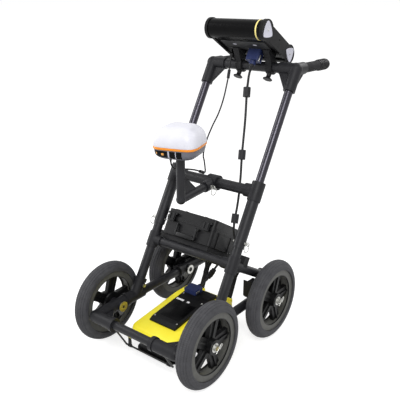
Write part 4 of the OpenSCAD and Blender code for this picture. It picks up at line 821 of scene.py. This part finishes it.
def face_panel(name, x0, x1, z0, z1, out, key, slot):
    """A thin panel that lies on the front face of the receiver's base."""
    nx, nz, lip = 12, 6, 0.5

    def spot(i, k, inset, depth):
        return base_face(x0 + inset + (x1 - x0 - 2 * inset) * i / nx,
                         z0 + inset + (z1 - z0 - 2 * inset) * k / nz, depth)

    edge = ([(i, 0) for i in range(nx)] + [(nx, k) for k in range(nz)]
            + [(nx - i, nz) for i in range(nx)] + [(0, nz - k) for k in range(nz)])
    rings = [[spot(i, k, inset, depth) for i, k in edge]
             for depth, inset in ((-1.2, 0.0), (out - 0.3, 0.0), (out, lip))]
    points, faces = rings_of(rings, caps=False)
    first = len(points)
    points += [spot(i, k, lip, out) for i in range(nx + 1) for k in range(nz + 1)]
    for i in range(nx):
        for k in range(nz):
            a = first + i * (nz + 1) + k
            faces.append((a, a + nz + 1, a + nz + 2, a + 1))
    put(mesh_of(name, points, faces, key, 0.6), "cart", slot)


face_panel("receiver_panel_left", -66, -17, 750, 773, 0.7, "gloss", "gloss_black")
face_panel("receiver_panel_right", -8.5, 35, 747.5, 773, 0.7, "gloss", "gloss_black")
face_panel("receiver_bar", -14.5, -11, 746.5, 773.5, 0.9, "plate", "plate_white")
face_panel("receiver_lamp", -39, -30, 757.5, 765.5, 1.3, "amber", "receiver_orange")
face_panel("receiver_lamp_small", -60, -56, 759, 766.5, 1.2, "amber", "receiver_orange")
face_panel("receiver_tick", 12, 14.5, 748, 772.6, 1.1, "plate", "plate_white")


# Trim on the display

end_x, roll_y, roll_r = 127, -186, 36.0
under_z, under_plate = -26, 1.2


def lid_plate(name, at, scale, side):
    """A pale plate with a pointed end, screwed flat on the display's end."""
    outline = ((-29, -17), (-27.6, -20.6), (-24, -22.5), (-12, -24.4), (0, -25), (12, -24.4), (24, -22.5),
               (27.6, -20.6), (29, -17), (27.4, -8), (24, 2), (20, 11.5), (15, 20), (10.5, 26.4), (6, 30.5),
               (3, 32), (0, 32.5), (-3, 32), (-6, 30.5), (-10.5, 26.4), (-15, 20), (-20, 11.5), (-24, 2),
               (-27.4, -8))
    rings = []
    for out, k in ((-0.2, 1.0), (1.5, 1.0), (2.0, 0.97), (1.6, 0.9), (1.6, 0.2)):
        rings.append([at + Vector((side * out, k * scale * y, k * scale * z)) for y, z in outline])
    return mesh_of(name, *rings_of(rings), "plate", 0.5)


def pan_screw(name, at, direction, r, body, key="steel"):
    profile = [(-0.6, r), (0.5, r), (1.0, r * 0.86), (1.2, r * 0.6), (0.8, r * 0.45), (0.4, r * 0.4),
               (0.4, r * 0.1)]
    put(turned(name, at, direction, profile, key, 24), body, "steel")


for tag, side in both_sides:
    for end, y, scale in (("front", roll_y, 1.0), ("rear", 0, -0.9)):
        at = disp(side * end_x, y, 0)
        plate = lid_plate(f"end_plate_{tag}_{end}", at, scale, side)
        first = (tag, end) == ("left", "front")
        put(plate, "display", "plate_white", *(["display_corner_plates"] if first else []))
        pan_screw(f"end_screw_{tag}_{end}", at + Vector((side * 1.6, 0, 0)), (side, 0, 0), 3.6, "display")
    pan_screw(f"end_screw_{tag}_middle", disp(side * end_x, -95, 10), (side, 0, 0), 2.6, "display", "moulded")


def roll_stripe(name, x0, x1, r):
    """A narrow raised stripe round the outside of the display's front edge."""
    section = ((x0, r - 0.8), (x0, r), (x0 + 0.4, r + 0.3), (x1 - 0.4, r + 0.3), (x1, r), (x1, r - 0.8))
    start, sweep, steps = 52, 256, 40
    rings = []
    for k in range(steps + 1):
        a = radians(start + sweep * k / steps)
        c, w = cos(a), sin(a)
        rings.append([disp(x, roll_y + q * c, q * w) for x, q in section])
    return mesh_of(name, *rings_of(rings), "stripe", 0.5)


put(roll_stripe("front_stripe", 94.5, 100.5, roll_r), "display", "safety_yellow")


def flat_oval(name, x, half_x, half_y):
    """A thin oval stuck on the plate of the display's underside."""
    at = moved(disp, x, -118, under_z - under_plate)
    turns = [i * tau / 36 for i in range(36)]
    rings = []
    for down, k in ((-0.3, 1.0), (0.4, 1.0), (0.6, 0.94), (0.6, 0.3)):
        rings.append([at(k * half_x * cos(a), k * half_y * sin(a), -down) for a in turns])
    put(mesh_of(name, *rings_of(rings), "plate", 0.5), "display", "plate_white")


for tag, side in both_sides:
    flat_oval(f"underside_oval_{tag}", side * 45, 9, 4.5)


def underside_slab(name, x, y, size, down, key, slot):
    """A thin plate on the display's underside, with its face that far below it."""
    at = moved(disp, x, y, under_z - down + size[2] / 2)
    block(name, at, size, 0.3, key, "display", slot, 2)


underside_slab("underside_plate", 0, -110, (196, 66, 1.6), under_plate, "underside", "black_plastic")
for i in range(5):
    underside_slab(f"underside_slot_{i}", -72 + 36 * i, -147.5, (11, 2.6, 1.2), 1.0, "gloss", "gloss_black")


# Knobs under the clamps

def fluted_knob(name, x):
    """A mushroom-shaped hand knob with a fluted rim and a stem."""
    profile = ((22, 3.9), (38.2, 3.9), (38.4, 8.2), (40, 8.8), (42.5, 11), (45, 15), (46.5, 17.4),
               (47.6, 18.4), (48.8, 18.6), (50.2, 18.0), (51.1, 16.5), (51.3, 13), (50.7, 9), (50.5, 4),
               (50.5, 0.6))
    flutes, flute_deep, steps = 7, 1.5, 84
    rings = []
    for along, r in profile:
        ring = []
        for i in range(steps):
            a = i * tau / steps
            dip = flute_deep * max(0.0, cos(flutes * a)) ** 3 * min(max((r - 12) / 5, 0), 1)
            ring.append(hand(x + (r - dip) * cos(a), (r - dip) * sin(a), -along))
        rings.append(ring)
    return mesh_of(name, *rings_of(rings), "moulded", 0.6)


for tag, side in both_sides:
    knob = fluted_knob(f"clamp_knob_{tag}", side * 68)
    put(knob, f"display_knob_{tag}_body", "black_plastic", f"display_knob_{tag}")


# Latches on the connectors

for tag, side in both_sides:
    block(f"plug_latch_{tag}", moved(hand, plug_x + side * 29.2, -58, 8), (3.2, 9, 24), 1.2, "steel",
          "display", "steel")
    block(f"socket_latch_{tag}", moved(cart, socket_x + side * 30.2, 50, 163), (3.2, 22, 9), 1.2, "steel",
          "sensor", "steel")


# Trim on the sensor's module

module_slope = 0.11864
module_back = (40, 154)


def on_module(x, y):
    """The frame of the module's sloping top at a point."""
    tilt = atan(module_slope)
    c, w = cos(tilt), sin(tilt)
    z = module_back[1] - (module_back[0] - y) * module_slope
    return lambda a, b, d: Vector((x + a, y + b * c - d * w, z + b * w + d * c))


for name, x, y, size, key, slot in (
        ("module_field", 4, -75, (92, 104, 1.2), "gloss", "gloss_black"),
        ("module_label_blank", -38, -12, (36, 10, 0.8), "label", "plate_white"),
        ("module_spot", 2, -12, (12, 9, 0.8), "label", "plate_white")):
    block(name, on_module(x, y), size, 0.3, key, "sensor", slot)
up_module = on_module(0, 0)(0, 0, 1) - on_module(0, 0)(0, 0, 0)
for i, (x, y) in enumerate(((-54, -140), (54, -140), (54, 8), (-54, 28))):
    pan_screw(f"module_screw_{i}", on_module(x, y)(0, 0, 0), up_module, 3.2, "sensor")


# Caps, washers, nuts and bent wire pins on the axles

boss_x, washer_x, nut_x, pin_x = 159, 273.4, 275.4, 288
washer_cut = [(0, 8.2), (0, 16.4), (0.4, 17), (1.5, 17), (2, 16.4), (2, 8.2)]
nut_cut = [(0, 8.2), (0, 10.4), (0.5, 11), (6.3, 11), (7, 10.2), (7, 8.2)]
pin_bend = ((-13, -12), (-6, -5.5), (0, 0), (6, 5.5), (11, 11.5), (17, 13.5), (20, 8.5), (17, 3), (11, 1),
            (8, -4))
for tag, side in both_sides:
    for end, y, bore in (("front", -axle_y, 5.0), ("rear", axle_y, 9.6)):
        at, out = f"{tag}_{end}", (side, 0, 0)
        cap = turned(f"axle_bore_{at}", (side * boss_x, y, axle_z), (-side, 0, 0),
                     [(-0.5, bore), (0.5, bore), (1.0, bore - 0.4), (1.2, bore - 1.6), (0.7, bore - 2.6),
                      (0.7, 1.0)], "moulded", 32)
        put(cap, "cart", "black_plastic")
        washer = turned(f"axle_washer_{at}", (side * washer_x, y, axle_z), out, washer_cut, "steel", 40)
        put(washer, "cart", "steel", *(["axle_clips"] if at == "left_front" else []))
        put(turned(f"axle_nut_{at}", (side * nut_x, y, axle_z), out, nut_cut, "steel", 6), "cart", "steel")
        bent = [Vector((side * pin_x, y + u, axle_z + v)) for u, v in pin_bend]
        put(tube_of(f"axle_pin_{at}", curve_through(bent, 5), 1.7, "steel", 10), "cart", "steel")


# Grip and ridges on the battery case

block("case_grip", moved(case, 0, -97.9, 9), (82, 11, 18), 4, "case", "case_handle_body", "black_plastic")
for tag, side in both_sides:
    for i, off in enumerate((-9, 9)):
        block(f"latch_ridge_{tag}_{i}", moved(case, side * 83.5 + off, -101.6, 69.5), (6, 5, 29), 1.6, "case",
              f"case_latch_{tag}_body", "black_plastic")
    block(f"lid_rib_{tag}", moved(case, side * 48, 0, 103.6), (10, 136, 3), 1.2, "case", "case_lid_body",
          "black_plastic")


# Sensor shell

def shell_top(y):
    """Height of the shell's back along its length, with its creases eased."""
    table = ((shell_front, 103), (-196, 112), (40, 140), (112, 140), (shell_rear, 114))
    ease = range(-8, 9, 2)

    def straight(v):
        v = min(max(v, shell_front), shell_rear)
        for (a, za), (b, zb) in zip(table, table[1:]):
            if v <= b:
                return za + (zb - za) * (v - a) / (b - a)
    return sum(straight(y + d) for d in ease) / len(ease)


def shell_outline(inset):
    """The shell's plan with its round corners, drawn in by that much."""
    hx, r, arc, run = 112.0, 30.0, 12, 20
    cx, rear, front = hx - r, shell_rear - r, shell_front + r
    corners = ((cx, rear, 0, (-cx, shell_rear - inset)), (-cx, rear, 90, (-(hx - inset), front)),
               (-cx, front, 180, (cx, shell_front + inset)), (cx, front, 270, (hx - inset, rear)))
    ring = []
    for x, y, start, after in corners:
        for k in range(arc + 1):
            a = radians(start + 90 * k / arc)
            ring.append((x + (r - inset) * cos(a), y + (r - inset) * sin(a)))
        last = ring[-1]
        for k in range(1, run):
            ring.append((last[0] + (after[0] - last[0]) * k / run, last[1] + (after[1] - last[1]) * k / run))
    return ring


def shell_rings():
    """The shell's rings: rim, wall, rounded edge, and in to the middle of its back."""
    rim = ((4.5, 60.2), (1.4, 60.2), (0.2, 61.4), (0.0, 63.0), (0.0, 69.0), (0.6, 70.4), (2.2, 71.0),
           (2.4, 74.0))
    rings = [[Vector((x, y, z)) for x, y in shell_outline(inset)] for inset, z in rim]
    wall, fillet, steps = 2.6, 15.0, 7
    rings.append([Vector((x, y, shell_top(y) - fillet - 1)) for x, y in shell_outline(wall)])
    for k in range(steps + 1):
        a = radians(90 * k / steps)
        ring = shell_outline(wall + fillet * (1 - cos(a)))
        rings.append([Vector((x, y, shell_top(y) - fillet * (1 - sin(a)))) for x, y in ring])
    middle = (shell_rear + shell_front) / 2
    for share in (0.97, 0.94, 0.9, 0.86, 0.82, 0.77, 0.7, 0.62, 0.52, 0.4, 0.28, 0.16, 0.06):
        ring = [(x * share, middle + (y - middle) * share) for x, y in shell_outline(wall + fillet)]
        rings.append([Vector((x, y, shell_top(y))) for x, y in ring])
    return rings


shell = mesh_of("sensor_cover", *rings_of(shell_rings()), "yellow", sharp=0.75)
put(shell, "sensor", "safety_yellow", "sensor_shell")
for i, x in enumerate(strap_xs):
    block(f"rear_lug_{i}", moved(cart, x, 133, 124), (26, 14, 20), 3, "yellow", "sensor", "safety_yellow")
for i, side in enumerate((-1, 1)):
    block(f"front_lug_{i}", moved(cart, side * tab_x, -224.5, 70), (20, 31, 10), 2.5, "yellow", "sensor",
          "safety_yellow")


# Finishes of the solids that stay

finishes = {
    "tube": "side_tubes cross_tubes shelf_rails leg_tubes mid_crossbar handle_tubes gps_arm",
    "bright": "upper_tubes",
    "corner": "frame_corners leg_fittings tee_fittings handle_corners gps_clamp",
    "steel": "frame_fasteners wheel_bearings odometer_roller",
    "axle": "axles",
    "wire": "front_bail",
    "grip": "grips",
    "moulded": "grip_caps odometer_housing shelf_tray sensor_skid display_bracket",
    "case": "case_body case_lid case_latch_left case_latch_right case_handle",
    "pack": "battery_pack",
    "gloss": "display_housing",
    "satin": "display_end_caps sensor_module",
    "glass": "display_screen",
    "board": "display_board",
    "navy": "display_connector sensor_connector",
    "red": "display_button",
    "antenna": "sensor_antenna",
    "ferrite": "cable_ferrites",
}
for key, names in finishes.items():
    for name in names.split():
        dress(name, mat[key])

bevels = {
    3.0: "sensor_module",
    2.0: "sensor_connector display_connector case_body case_lid odometer_housing",
    1.5: "case_handle display_bracket shelf_tray sensor_skid cable_ferrites",
    1.2: "case_latch_left case_latch_right display_end_caps frame_corners leg_fittings handle_corners",
    1.0: "display_housing tee_fittings gps_clamp gps_arm",
    0.8: "grip_caps",
    0.6: "axles",
}


def soften(node, width):
    """Small rounded edges on a solid that stays, of that width in millimetres."""
    weld = node.modifiers.new("weld", "WELD")
    weld.merge_threshold = 0.00001
    bevel = node.modifiers.new("bevel", "BEVEL")
    bevel.width = width / 1000
    bevel.segments = 2
    bevel.limit_method = "ANGLE"
    bevel.angle_limit = radians(35)
    normal = node.modifiers.new("normals", "WEIGHTED_NORMAL")
    normal.keep_sharp = True


for width, names in bevels.items():
    for name in names.split():
        soften(nodes[name], width)


# Floor and light

shade_level, seen_level = 0.7, 1.0
floor_grey, floor_glow, floor_half = 0.52, 0.72, 60


def new_node(tree, kind, *sources):
    """A node with those outputs linked to its first inputs."""
    node = tree.nodes.new(kind)
    for socket, source in zip(node.inputs, sources):
        tree.links.new(source, socket)
    return node


def seen_by(tree, first, *others):
    """One on light paths of those kinds, and zero on the rest."""
    ways = new_node(tree, "ShaderNodeLightPath")
    seen = ways.outputs[first]
    for kind in others:
        most = new_node(tree, "ShaderNodeMath", seen, ways.outputs[kind])
        most.operation = "MAXIMUM"
        seen = most.outputs[0]
    return seen


world = bpy.data.worlds.new("studio")
scene.world = world
world.use_nodes = True
tree = world.node_tree
tree.nodes.clear()
seen = seen_by(tree, "Is Camera Ray", "Is Glossy Ray", "Is Transmission Ray")
level = new_node(tree, "ShaderNodeMapRange", seen)
level.inputs["To Min"].default_value = shade_level
level.inputs["To Max"].default_value = seen_level
back = new_node(tree, "ShaderNodeBackground")
back.inputs["Color"].default_value = (1, 1, 1, 1)
tree.links.new(level.outputs[0], back.inputs["Strength"])
new_node(tree, "ShaderNodeOutputWorld", back.outputs[0])

floor_mesh = bpy.data.meshes.new("floor")
corners = [(x * floor_half, y * floor_half, 0) for x, y in ((-1, -1), (1, -1), (1, 1), (-1, 1))]
floor_mesh.from_pydata(corners, [], [(0, 1, 2, 3)])
floor = new_object("floor", floor_mesh)
floor.location.z = -0.0005
paint = bpy.data.materials.new("floor_paint")
paint.use_nodes = True
tree = paint.node_tree
tree.nodes.clear()
flat = new_node(tree, "ShaderNodeBsdfDiffuse")
flat.inputs["Color"].default_value = (floor_grey, floor_grey, floor_grey, 1)
glow = new_node(tree, "ShaderNodeEmission")
amount = new_node(tree, "ShaderNodeMath", seen_by(tree, "Is Camera Ray", "Is Glossy Ray"))
amount.operation = "MULTIPLY"
amount.inputs[1].default_value = floor_glow
tree.links.new(amount.outputs[0], glow.inputs["Strength"])
both = new_node(tree, "ShaderNodeAddShader", flat.outputs[0], glow.outputs[0])
new_node(tree, "ShaderNodeOutputMaterial", both.outputs[0])
floor_mesh.materials.append(paint)


def lamp(name, place, aim, size, power):
    data = bpy.data.lights.new(name, "AREA")
    data.shape = "RECTANGLE"
    data.size, data.size_y = size
    data.energy = power
    obj = new_object(name, data)
    obj.location = place
    obj.rotation_mode = "QUATERNION"
    obj.rotation_quaternion = (Vector(aim) - Vector(place)).to_track_quat("-Z", "Y")


lamp("key", (1.6, -2.4, 3.0), (0, 0, 0.5), (1.2, 1.2), 75)
lamp("side", (-2.6, -1.2, 1.8), (0, 0, 0.5), (0.5, 2.2), 38)
lamp("back", (0.6, 2.8, 2.4), (0, 0, 0.6), (1.8, 0.8), 30)
